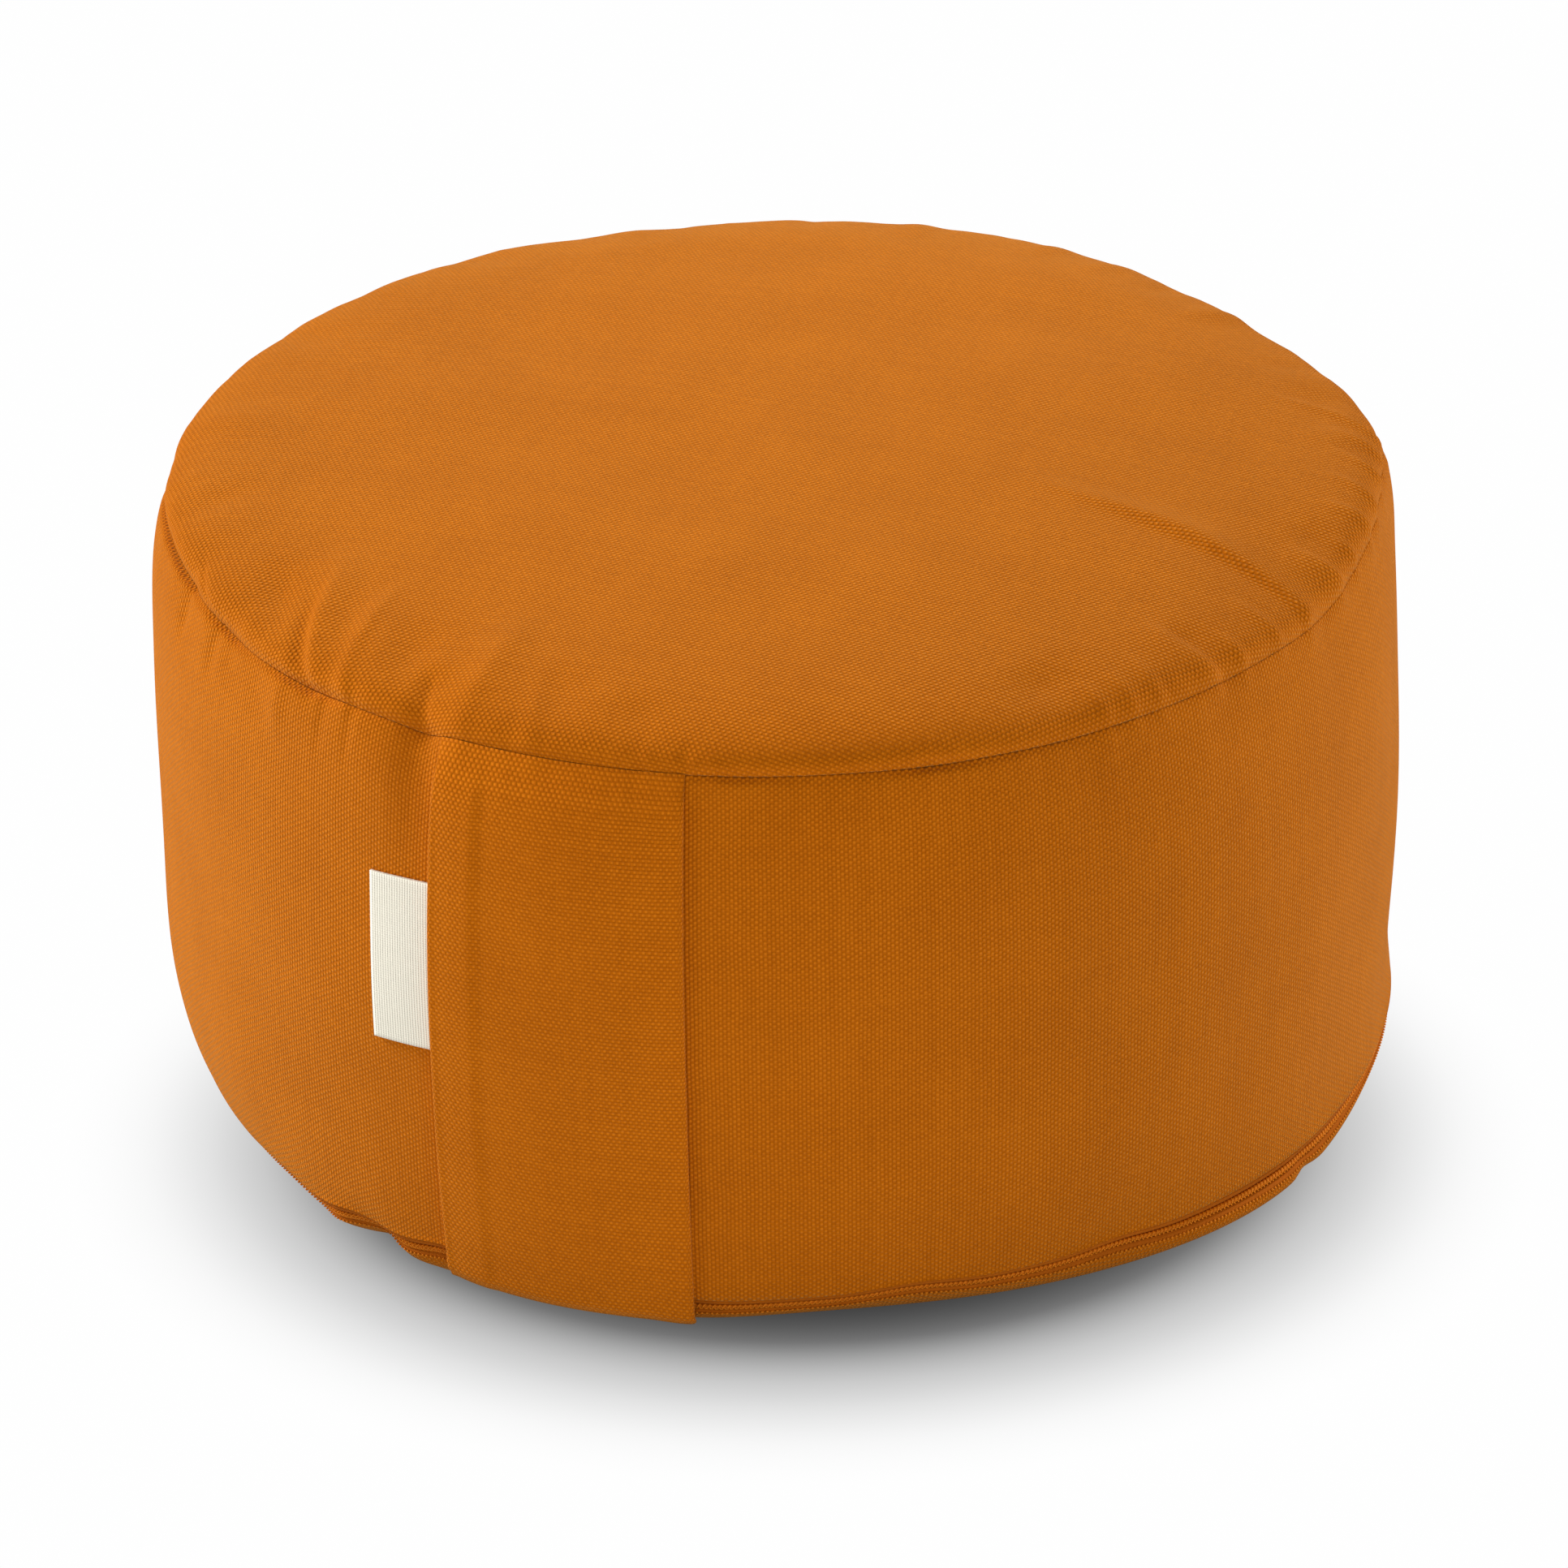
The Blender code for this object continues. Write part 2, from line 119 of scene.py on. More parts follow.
def flatPolar(azimuth, radius):
    return polar(azimuth, radius, 0)[..., :2]


def flatArrays(*values):
    return [np.ravel(value) for value in np.broadcast_arrays(*values)]


def liftsAlong(azimuth, lifts):
    return sum(lift * bell(turnFrom(azimuth, place), spread) for place, spread, lift in lifts)


def crownHeight(radius):
    share = np.clip(radius / even["seamRadius"], 0, 1)
    rise = (1 - share ** even["crownPower"]) ** (1 / even["shoulderPower"])
    return seamHeight + even["crownRise"] * rise


def wallRadius(height):
    depth = np.maximum(seamHeight - height, 0)
    rise = 1 - (1 - np.minimum(depth / even["bellyDepth"], 1)) ** even["bellyPower"]
    foot = seamHeight - even["wallFoot"] - even["bellyDepth"]
    turnIn = even["footTurnIn"] * (np.maximum(depth - even["bellyDepth"], 0) / foot) ** 2
    return even["seamRadius"] + even["bellySwell"] * rise ** (1 / even["neckPower"]) - turnIn


footRadius = wallRadius(even["wallFoot"])
recessRadius = footRadius - even["recess"]

topFolds = [  # from azimuth and radius, to azimuth and radius, half width, lift
    (-40, 0.124, -28, 0.157, 0.0055, 0.0018),  # high ridge at the left front
    (-44, 0.138, -33, 0.157, 0.0055, -0.0018),
    (-30, 0.124, -21, 0.156, 0.0060, 0.0010),
    (-21, 0.132, -17, 0.156, 0.0055, -0.0010),
    (-12, 0.116, -10, 0.146, 0.0065, 0.0010),
    (-14.5, 0.144, -14.5, 0.158, 0.0050, -0.0016),  # beside the band
    (-3, 0.132, -1, 0.152, 0.0070, -0.0008),
    (5, 0.140, 7, 0.156, 0.0070, -0.0008),
    (45, 0.138, 46, 0.156, 0.0100, -0.0016),  # broad hollow at the right front
    (61, 0.142, 63, 0.157, 0.0055, -0.0016),
    (75.5, 0.092, 76, 0.156, 0.0060, -0.0004),
    (79.5, 0.068, 80, 0.157, 0.0060, 0.0005),  # long crease to the right
    (87, 0.140, 87, 0.158, 0.0060, -0.0012),
    (108, 0.136, 110, 0.158, 0.0060, 0.0010),
    (117, 0.134, 120, 0.158, 0.0070, -0.0010),
    (127, 0.134, 128, 0.157, 0.0050, -0.0006),
    (142, 0.130, 143, 0.157, 0.0050, 0.0012),
    (150, 0.132, 151, 0.157, 0.0050, -0.0008),
    (159, 0.132, 158, 0.157, 0.0050, 0.0008),
    (167, 0.134, 166, 0.157, 0.0050, 0.0010),
    (182, 0.130, 183, 0.157, 0.0060, 0.0010),
    (196, 0.132, 193, 0.157, 0.0070, -0.0008),
    (213, 0.130, 216, 0.157, 0.0080, 0.0008),
    (231, 0.130, 234, 0.157, 0.0080, -0.0008),
    (247, 0.130, 244, 0.157, 0.0070, 0.0006),
    (262, 0.126, 259, 0.157, 0.0085, -0.0008),
    (284, 0.124, 281, 0.157, 0.0080, 0.0006),
    (300, 0.130, 302, 0.157, 0.0070, -0.0008),
]
# folds that hang down the wall: azimuth at the seam and at the foot, height of the foot, half width, lift
wallFolds = [
    (-13.5, -13.5, 0.105, 0.0065, -0.0026),  # beside the band
    (-33, -29, 0.132, 0.0060, 0.0012),
    (-40, -37, 0.138, 0.0060, -0.0012),
    (-50, -46, 0.128, 0.0080, -0.0012),
    (80, 81, 0.120, 0.0080, -0.0010),
    (134, 137, 0.110, 0.0080, 0.0006),
    (166, 164, 0.120, 0.0090, -0.0012),
    (214, 217, 0.116, 0.0090, 0.0012),
    (246, 243, 0.124, 0.0090, -0.0012),
    (287, 285, 0.126, 0.0090, -0.0010),
]
foldShape = {
    "inset": 0.030,  # folds turn from upwards to outwards over this much of the edge
    "wallRunOut": 0.012,  # folds of the wall run out this far above the seam
    "topHang": 0.020,  # folds of the top run out this far below it
    "growth": (-0.1, 0.6),  # share of its length over which a top fold grows
    "seamHold": 0.45,  # share of a top fold that the stitching lets through
    "seamHoldWidth": 0.014,
    "calmRadius": 0.120,  # the slump moves nothing inside this
    "seamLiftDepth": 0.050,
    "zipLiftGrows": (0.001, 0.0075),  # the zip's lifts grow and fade over these heights
    "zipLiftFades": (0.013, 0.045),
}


def outwardOf(radius, height):
    out = np.maximum(radius - even["seamRadius"] + foldShape["inset"], 0)
    up = np.maximum(height - seamHeight + foldShape["inset"], 0)
    length = np.hypot(out, up)
    safe = np.where(length > 0, length, 1)
    return out / safe, np.where(length > 0, up / safe, 1)


def topFoldLift(azimuth, radius, height):
    place = flatPolar(azimuth, radius)
    lift = np.zeros(len(azimuth))
    for fromAzimuth, fromRadius, toAzimuth, toRadius, halfWidth, rise in topFolds:
        start = flatPolar(fromAzimuth, fromRadius)
        run = flatPolar(toAzimuth, toRadius) - start
        share = (place - start) @ run / (run @ run)
        nearest = start + np.clip(share, 0, 1)[:, None] * run
        distance = np.linalg.norm(place - nearest, axis=1)
        lift += rise * rampUp(share, *foldShape["growth"]) * bell(distance, halfWidth)
    hold = foldShape["seamHold"]
    hold = hold + (1 - hold) * rampUp(even["seamRadius"] - radius, 0, foldShape["seamHoldWidth"])
    return lift * hold * rampUp(height, seamHeight - foldShape["topHang"], seamHeight)


def wallFoldLift(azimuth, radius, height):
    lift = np.zeros(len(azimuth))
    for seamAzimuth, footAzimuth, footHeight, halfWidth, rise in wallFolds:
        down = np.maximum(seamHeight - height, 0) / (seamHeight - footHeight)
        turn = turnFrom(azimuth, seamAzimuth + down * (footAzimuth - seamAzimuth))
        lift += rise * np.clip(1 - down, 0, 1) ** 2 * bell(radius * np.radians(turn), halfWidth)
    return lift * (1 - rampUp(height, seamHeight, seamHeight + foldShape["wallRunOut"]))


def settled(azimuth, radius, height, relief=0.0):
    # moves points of the even cushion to their place on the slumped, folded one
    azimuth, radius, height = flatArrays(azimuth, radius, height)
    azimuth = turnFrom(azimuth, 0)
    nearEdge = rampUp(radius, foldShape["calmRadius"], even["seamRadius"])
    push = sum(out * bell(turnFrom(azimuth, place), spreadRound) * bell(height - level, spreadUp)
               for place, level, spreadRound, spreadUp, out in wallPushes)
    rise = liftsAlong(azimuth, seamLifts)
    rise *= rampUp(height, seamHeight - foldShape["seamLiftDepth"], seamHeight) * nearEdge
    zipRise = liftsAlong(azimuth, zipLifts) * rampUp(height, *foldShape["zipLiftGrows"])
    rise += zipRise * (1 - rampUp(height, *foldShape["zipLiftFades"]))
    fold = topFoldLift(azimuth, radius, height) + wallFoldLift(azimuth, radius, height)
    fold += np.ravel(relief)
    out, up = outwardOf(radius, height)
    return polar(azimuth, radius + push * nearEdge + fold * out, height + rise + fold * up)


# sharp creases that run to the seam: azimuth and way from the seam where each starts,
# with the way up over the top negative, azimuth at the seam, half width to its left and right, lift
creases = [
    (-52, -0.011, -43.5, 0.0022, 0.0018, -0.0006),
    (-38.4, -0.034, -27, 0.0046, 0.0026, -0.0016),  # the deepest, at the left front
    (-29.5, -0.044, -22.2, 0.0034, 0.0022, 0.0009),
    (-16, -0.022, -13.3, 0.0034, 0.0014, -0.0007),
    (-11, -0.046, -9.5, 0.0030, 0.0028, 0.0004),
    (-5.5, -0.038, -2.5, 0.0030, 0.0028, 0.0004),
    (7.5, -0.010, 8.2, 0.0012, 0.0012, 0.0003),
    (11.2, -0.010, 11.4, 0.0020, 0.0014, -0.0005),
    (13.4, -0.007, 13.7, 0.0012, 0.0012, 0.0003),
    (49, -0.016, 49.8, 0.0022, 0.0014, 0.0006),
    (52, -0.018, 52.6, 0.0022, 0.0014, 0.0006),
    (55, -0.020, 55.6, 0.0022, 0.0016, 0.0006),
    (59.5, -0.028, 62.2, 0.0050, 0.0020, 0.0014),
    (65.6, -0.014, 66, 0.0022, 0.0014, 0.0008),
    (71, -0.022, 71.4, 0.0026, 0.0016, 0.0009),
    (80.2, -0.096, 76.4, 0.0022, 0.0046, 0.0015),  # the long one at the right
    (83.3, -0.022, 83.6, 0.0050, 0.0020, 0.0013),
    (88, -0.014, 88, 0.0020, 0.0014, 0.0008),
    (93.4, -0.020, 93, 0.0034, 0.0018, 0.0012),
    (100, -0.021, 97, 0.0030, 0.0020, 0.0011),
    (106, -0.020, 103, 0.0028, 0.0020, 0.0010),
    (111, -0.020, 108, 0.0028, 0.0020, 0.0010),
    (119, -0.034, 112, 0.0034, 0.0022, 0.0010),
    (112, 0.034, 113, 0.0170, 0.0150, 0.0012),  # the wall bulges out beyond the seam
    (-49.3, 0.018, -49.3, 0.0024, 0.0022, -0.0010),  # these hang down the wall
    (-42.4, 0.018, -41.8, 0.0022, 0.0024, -0.0008),
    (-31, 0.020, -30.3, 0.0032, 0.0030, 0.0006),
    (-25, 0.020, -24.6, 0.0016, 0.0016, -0.0004),
    (-21.5, 0.018, -21.3, 0.0016, 0.0016, -0.0004),
]
creaseShape = {"growth": 0.6, "nearSeam": 0.0035, "heldAtSeam": 0.6}


def creaseLift(azimuth, radius, fromSeam, side):
    # side 0 is the top panel and 1 the wall; fromSeam is the way along the cloth from the seam
    lift = np.zeros(len(azimuth))
    hold, near = creaseShape["heldAtSeam"], creaseShape["nearSeam"]
    for farAzimuth, farWay, seamAzimuth, leftWidth, rightWidth, rise in creases:
        if (farWay > 0) == (side == 1):
            share = fromSeam / abs(farWay)
            grown = rampUp(1 - share, 0, creaseShape["growth"])
            grown *= hold + (1 - hold) * rampUp(fromSeam, 0, near)
        else:  # the stitching carries a little of it across
            share, grown = 0, hold * bell(fromSeam, near)
        away = radius * np.radians(turnFrom(azimuth, seamAzimuth + share * (farAzimuth - seamAzimuth)))
        lift += rise * grown * bell(away, np.where(away < 0, leftWidth, rightWidth))
    return lift


# fine relief that every panel shares near the seam
seamDetail = {
    "bites": [  # azimuth, how far the stitching draws in the top panel and the wall; none over the band
        (-180, 0.0006, 0.0006), (-100, 0.0013, 0.0019), (-56, 0.0014, 0.0020), (-38, 0.0011, 0.0014),
        (-30, 0.0011, 0.0012), (-22, 0.0006, 0.0006), (-12.4, 0.0003, 0.0003), (-11.6, 0.0, 0.0),
        (11.2, 0.0, 0.0), (12, 0.0006, 0.0007), (39, 0.0006, 0.0007), (45, 0.0003, 0.0004),
        (66, 0.0003, 0.0003), (72, 0.0001, 0.0001), (119, 0.0001, 0.0001), (180, 0.0006, 0.0006)],
    "biteWidth": 0.0014,
    "biteVaries": 0.35,
    "biteVariesOver": 0.030,
    "puckers": 104,  # small gathers round the whole seam
    "puckerWander": 0.4,  # of the way between them
    "puckerLift": 0.00020,
    "puckerHalfWidth": (0.0016, 0.0036),
    "puckerReach": 0.009,
    "puckerReachVaries": (0.5, 1.6),
    "puckerStart": 0.0015,
    "lumpSize": 0.055,  # the filling shows as faint lumps
    "lumpLift": 0.00022,
    "lumpStart": 0.012,
    "seed": 11,
}


def softLumps(points, size, seed, waves=16):
    # a sum of waves that run in all directions
    rng = np.random.default_rng(seed)
    directions = rng.normal(size=(waves, 3))
    directions /= np.linalg.norm(directions, axis=1)[:, None]
    lengths = size * rng.uniform(0.7, 1.6, waves)
    phases = rng.uniform(0, 2 * np.pi, waves)
    waveNumbers = directions * (2 * np.pi / lengths)[:, None]
    return np.cos(points @ waveNumbers.T + phases).sum(1) / math.sqrt(waves / 2)


def seamRelief(azimuth, radius, height, fromSeam, side):
    azimuth, radius, height, fromSeam = flatArrays(azimuth, radius, height, fromSeam)
    azimuth = turnFrom(azimuth, 0)
    detail = seamDetail
    ring = polar(azimuth, even["seamRadius"], 0.0)
    varies = 1 + detail["biteVaries"] * softLumps(ring, detail["biteVariesOver"], detail["seed"])
    turns, *bites = zip(*detail["bites"])
    relief = -np.interp(azimuth, turns, bites[side]) * varies * bell(fromSeam, detail["biteWidth"])
    relief += creaseLift(azimuth, radius, fromSeam, side)
    rng = np.random.default_rng(detail["seed"] + 1)
    step = 360 / detail["puckers"]
    for index in range(detail["puckers"]):
        place = index * step + rng.uniform(-detail["puckerWander"], detail["puckerWander"]) * step
        halfWidth = rng.uniform(*detail["puckerHalfWidth"])
        reach = detail["puckerReach"] * rng.uniform(*detail["puckerReachVaries"], 2)[side]
        lift = detail["puckerLift"] * rng.normal(0, 1, 2)[side]
        away = even["seamRadius"] * np.radians(turnFrom(azimuth, place))
        grown = (1 - np.exp(-fromSeam / detail["puckerStart"])) * np.exp(-fromSeam / reach)
        relief += lift * grown * bell(away, halfWidth)
    lumps = softLumps(polar(azimuth, radius, height), detail["lumpSize"], detail["seed"] + 2 + side)
    return relief + detail["lumpLift"] * lumps * rampUp(fromSeam, 0, detail["lumpStart"])


# meshes

def addObject(name, data):
    thing = bpy.data.objects.new(name, data)
    bpy.context.scene.collection.objects.link(thing)
    return thing


def addPiece(name, points, faces, look, uvs=None):
    mesh = bpy.data.meshes.new(name)
    mesh.from_pydata(np.asarray(points).tolist(), [], faces)
    if uvs is not None:  # where each corner lies on the flat cloth
        layer = mesh.uv_layers.new(name="cloth")
        layer.uv.foreach_set("vector", np.asarray(uvs, np.float32).ravel())
    mesh.shade_smooth()
    mesh.materials.append(look)
    piece = addObject(name, mesh)
    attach(piece, "root")
    return piece


def turnedPiece(name, rings, look, flatPlace):
    # rings run down the outer side from one pole to the other, each with its columns, radius, height,
    # way along the cloth and relief side
    points, starts = [], []
    for columns, radius, height, along, side in rings:
        starts.append(sum(len(p) for p in points))
        azimuth = 360 * np.arange(columns) / columns
        relief = 0.0 if side is None else seamRelief(azimuth, radius, height, abs(along), side)
        points.append(settled(azimuth, radius, height, relief))
    points = np.concatenate(points)
    faces, corners = [], []

    def addFace(*spots):  # a spot is (ring, column)
        faces.append([starts[ring] + column % rings[ring][0] for ring, column in spots])
        corners.extend(spots)

    for upper in range(len(rings) - 1):
        lower = upper + 1
        above, below = rings[upper][0], rings[lower][0]
        for k in range(min(above, below) if min(above, below) > 1 else max(above, below)):
            if above == below:
                addFace((upper, k), (lower, k), (lower, k + 1), (upper, k + 1))
            elif above == 1:
                addFace((upper, 0), (lower, k), (lower, k + 1))
            elif below == 1:
                addFace((upper, k), (lower, 0), (upper, k + 1))
            elif above == 2 * below:
                addFace((upper, 2 * k), (lower, k), (upper, 2 * k + 1))
                addFace((upper, 2 * k + 1), (lower, k), (lower, k + 1))
                addFace((upper, 2 * k + 1), (lower, k + 1), (upper, 2 * k + 2))
            else:
                addFace((upper, k), (lower, 2 * k), (lower, 2 * k + 1))
                addFace((upper, k), (lower, 2 * k + 1), (upper, k + 1))
                addFace((upper, k + 1), (lower, 2 * k + 1), (lower, 2 * k + 2))
    ring = np.array([spot[0] for spot in corners])
    turn = 360 * np.array([spot[1] for spot in corners]) / np.array([r[0] for r in rings])[ring]
    uvs = flatPlace(turn, np.array([r[3] for r in rings])[ring])
    return addPiece(name, points, faces, look, uvs)


def sleevePiece(name, sections, look, flatWidth, flatStep):
    # closed cross-sections, one after another, each an array of points that runs round the strip;
    # both ends are closed
    rows, count = len(sections), len(sections[0])
    points = np.concatenate(sections)
    corners = [(row + down, k + right) for row in range(rows - 1) for k in range(count)
               for down, right in ((0, 0), (0, 1), (1, 1), (1, 0))]
    faces = [[row * count + k % count for row, k in corners[start:start + 4]]
             for start in range(0, len(corners), 4)]
    for row, turned in ((0, -1), (rows - 1, 1)):
        for k in range(count // 2 - 1):
            spots = [(row, k), (row, k + 1), (row, count - 2 - k), (row, count - 1 - k)][::turned]
            faces.append([r * count + c for r, c in spots])
            corners.extend(spots)
    corners = np.array(corners)
    uvs = np.stack([flatWidth[corners[:, 1] % count], corners[:, 0] * flatStep], -1)
    return addPiece(name, points, faces, look, uvs)


# materials

def feed(socket, value):
    if isinstance(value, bpy.types.NodeSocket):
        socket.id_data.links.new(value, socket)
    else:
        socket.default_value = value


def newLook(name, finish):
    look = bpy.data.materials.new(name)
    look.use_nodes = True
    shader = look.node_tree.nodes["Principled BSDF"]
    for socketName, value in finish.items():
        feed(shader.inputs[socketName], value)
    return look, look.node_tree, shader


def addNode(tree, kind, *values, **named):
    # the values go to the first sockets, and a name is that of a socket or of a setting
    node = tree.nodes.new("ShaderNode" + kind)
    for name, value in named.items():
        if name in node.inputs:
            feed(node.inputs[name], value)
        else:
            setattr(node, name, value)
    for socket, value in zip(node.inputs, values):
        feed(socket, value)
    return node.outputs


def treeOf(*values):
    return next(value.id_data for value in values if isinstance(value, bpy.types.NodeSocket))


def calc(operation, *values):
    return addNode(treeOf(*values), "Math", *values, operation=operation)[0]


def pairOf(*values):
    return addNode(treeOf(*values), "CombineXYZ", *values)[0]


def randomOf(*values):
    return addNode(treeOf(*values), "TexWhiteNoise", pairOf(*values), noise_dimensions="2D")["Value"]


def noiseAt(place, scale, detail=2.0, roughness=0.5):
    outputs = addNode(treeOf(place), "TexNoise", place, Scale=scale, Detail=detail, Roughness=roughness)
    return outputs["Fac"]


def rampOf(value, colours, stops, interpolation="LINEAR"):
    colour = addNode(treeOf(value), "ValToRGB", value)["Color"]
    ramp = colour.node.color_ramp
    ramp.interpolation = interpolation
    while len(ramp.elements) < len(stops):
        ramp.elements.new(0.5)
    for element, elementColour, stop in zip(ramp.elements, colours, stops):
        element.position = stop
        element.color = elementColour
    return colour


def bumpOf(height, strength, distance):
    return addNode(treeOf(height), "Bump", Height=height, Strength=strength, Distance=distance)[0]


def clothPlace(tree, wander, size):
    # where the shading point lies on the flat cloth, in metres, with the yarns' slight wander
    flat = addNode(tree, "SeparateXYZ", addNode(tree, "UVMap", uv_map="cloth")[0])
    drifts = [noiseAt(pairOf(flat[0], flat[1], layer), 1 / size, detail=1.0) for layer in (0.0, 0.7)]
    return [calc("MULTIPLY_ADD", drift, wander, place) for drift, place in zip(drifts, flat)]


canvas = {  # heavy plain-weave cotton
    "shadedTones": [  # painted shade in the gaps, the yarns' own colour on them and painted highlight at their tops
        (0.16, 0.026, 0.000), (0.46, 0.109, 0.0005), (0.66, 0.178, 0.004)],
    "toneStops": (0.25, 0.7, 1.0),
    "proudSpacing": 0.0010,
    "flatSpacing": 0.000714,
    "proudHalf": 0.50,  # half width of a proud yarn, in spacings
    "flatHalf": 0.54,
    "flatRise": 0.34,  # how light the flat yarns are beside the proud ones: painted shade, as they lie lower
    "flatBump": 0.1,  # and how high
    "blend": 0.12,
    "wander": 0.0005,
    "wanderSize": 0.012,
    "relief": (0.00027, 0.00044),  # the weave stands out more at both sides than in the middle
    "looseFrom": (0.03, 0.15),  # between these ways from the middle
    "bump": 1.0,
    "gapShade": 0.62,  # how dark the painted shade in the gaps between yarns is
    "yarnVaries": 0.08,
    "floatShare": 0.6,  # of that, how much is each float's own and not its yarn's
    "patchVaries": 0.10,
    "patchSize": 0.03,
    "fibreVaries": 0.10,
    "fibreSize": 0.00035,
    "fibreBump": 0.05,
    "finish": {"Roughness": 0.92, "Specular IOR Level": 0.04, "Sheen Weight": 0.25,
               "Sheen Roughness": 0.45, "Sheen Tint": (1.0, 0.65, 0.20, 1)},
}


def floatOf(off, half, waveAt, start):
    # a round float, highest over its middle: off is the way from the yarn's middle, and waveAt
    # counts the yarns that it crosses
    share = calc("DIVIDE", calc("ABSOLUTE", off), half)
    bulge = calc("MAXIMUM", calc("SUBTRACT", 1.0, calc("POWER", share, 2.0)), 0.0)
    wave = calc("COSINE", calc("MULTIPLY", calc("SUBTRACT", waveAt, start), math.pi))
    return calc("MULTIPLY", bulge, calc("MULTIPLY_ADD", wave, 0.5, 0.5))


def plainWeave(across, along):
    # proud yarns run along, spacing apart; flat ones run across between them, packed close
    column = calc("DIVIDE", across, canvas["proudSpacing"])
    row = calc("DIVIDE", along, canvas["flatSpacing"])
    columnIndex, rowIndex = calc("FLOOR", column), calc("FLOOR", row)
    inColumn = calc("SUBTRACT", calc("FRACT", column), 0.5)
    inRow = calc("SUBTRACT", calc("FRACT", row), 0.5)
    proud = floatOf(inColumn, canvas["proudHalf"], row, calc("ADD", columnIndex, 0.5))
    flat = floatOf(inRow, canvas["flatHalf"], column, calc("ADD", rowIndex, 1.5))
    rise = calc("MULTIPLY_ADD", flat, canvas["flatBump"], proud)
    # painted shade: the flat yarns are made darker where they lie below the proud ones
    flat = calc("MULTIPLY", flat, canvas["flatRise"])
    tone = calc("SMOOTH_MAX", proud, flat, canvas["blend"])
    return tone, rise, calc("GREATER_THAN", proud, flat), columnIndex, rowIndex


def weaveRelief(tree):
    # how far the weave stands out
    place = addNode(tree, "SeparateXYZ", addNode(tree, "TexCoord")["Object"])
    values = (calc("ABSOLUTE", place[0]), *canvas["looseFrom"], *canvas["relief"])
    return addNode(tree, "MapRange", *values, interpolation_type="SMOOTHSTEP")[0]


def varied(tone, change, amount):
    # a tone, made lighter or darker by up to this share
    return calc("MULTIPLY", tone, calc("MULTIPLY_ADD", change, 2 * amount, 1 - amount))


def canvasLook(name, paintedLightness=1.0, turned=False):
    look, tree, shader = newLook(name, canvas["finish"])
    places = clothPlace(tree, canvas["wander"], canvas["wanderSize"])
    across, along = places[::-1] if turned else places
    height, rise, isProud, columnIndex, rowIndex = plainWeave(across, along)
    # each float is a little lighter or darker than the next, and so are whole yarns
    yarnTone = addNode(tree, "Mix", isProud, A=randomOf(0.5, rowIndex), B=randomOf(columnIndex, 0.5))[0]
    floatTone = calc("MULTIPLY", randomOf(columnIndex, rowIndex), canvas["floatShare"])
    yarnTone = calc("MULTIPLY_ADD", yarnTone, 1 - canvas["floatShare"], floatTone)
    place = pairOf(across, along)
    patch = noiseAt(place, 1 / canvas["patchSize"], detail=3.0)
    fibre = noiseAt(place, 1 / canvas["fibreSize"], roughness=0.7)
    # painted shade: the colour darkens from the yarns' tops down into the gaps between them
    tone = calc("MULTIPLY_ADD", height, 1 - canvas["gapShade"], canvas["gapShade"])
    tone = varied(tone, yarnTone, canvas["yarnVaries"])
    tone = varied(tone, patch, canvas["patchVaries"])
    tone = varied(tone, fibre, canvas["fibreVaries"])
    # a lightness above 1 is painted light, as on the band
    colours = [(*[paintedLightness * part for part in colour], 1) for colour in canvas["shadedTones"]]
    feed(shader.inputs["Base Color"], rampOf(tone, colours, canvas["toneStops"]))
    rise = calc("MULTIPLY_ADD", fibre, canvas["fibreBump"], rise)
    feed(shader.inputs["Normal"], bumpOf(rise, canvas["bump"], weaveRelief(tree)))
    return look


wallLook = canvasLook("wallCanvas")
topLook = canvasLook("panelCanvas", turned=True)
# painted light: the band has the wall's canvas, made 6% lighter
bandLook = canvasLook("bandCanvas", paintedLightness=1.06, turned=True)

print("materials made")

# the side wall, with the filling it holds

# the wall and the top panel have rings this far from the seam, and even steps after that
seamWays = (0, 0.0003, 0.0007, 0.0012, 0.0018, 0.0025)
sideWall = {
    "slot": "wall_canvas",
    "fill": 0.85,
    "fineColumns": 960,
    "columns": 480,
    "fineDepth": 0.032,  # above this, the wall is cut finer
    "fineStep": 0.0009,
    "step": 0.0019,
    "lipEdge": 0.0005,  # the lower lip turns in over the zip
    "lipTurns": (30, 60, 90),
    "yarnsRound": 1042,  # an even number, so that the weave meets itself
    "clear": 0.0002,  # between the filling and the panels
    "rimDrop": 0.0006,
    "crownRings": [(0, 1), (0.2, 60), (0.4, 60), (0.6, 120), (0.75, 240), (0.88, 480), (0.96, 960)],
    "floorRings": [(0.8, 240), (0.55, 120), (0.3, 60), (0, 1)],  # share of the way out, columns
    "recessLean": (0, 0.0004, 0.0012),  # how far in the recess has gone, on its way down
    "recessStep": 0.003,
}


def wallLine(sizes, samples=4000):
    # heights down the wall, evenly spaced along the cloth: (height, way from the seam)
    top = seamHeight - seamSlit
    heights = top - np.linspace(0, 1, samples) ** 2 * (top - even["wallFoot"])
    lengths = lengthsAlong(wallRadius(heights), heights)
    fine = np.concatenate([seamWays[:-1], np.arange(seamWays[-1], sizes["fineDepth"], sizes["fineStep"])])
    rest = np.arange(sizes["fineDepth"], lengths[-1], sizes["step"])
    ways = np.concatenate([fine, rest, [lengths[-1]]])
    return [(np.interp(way, lengths, heights), way) for way in ways]


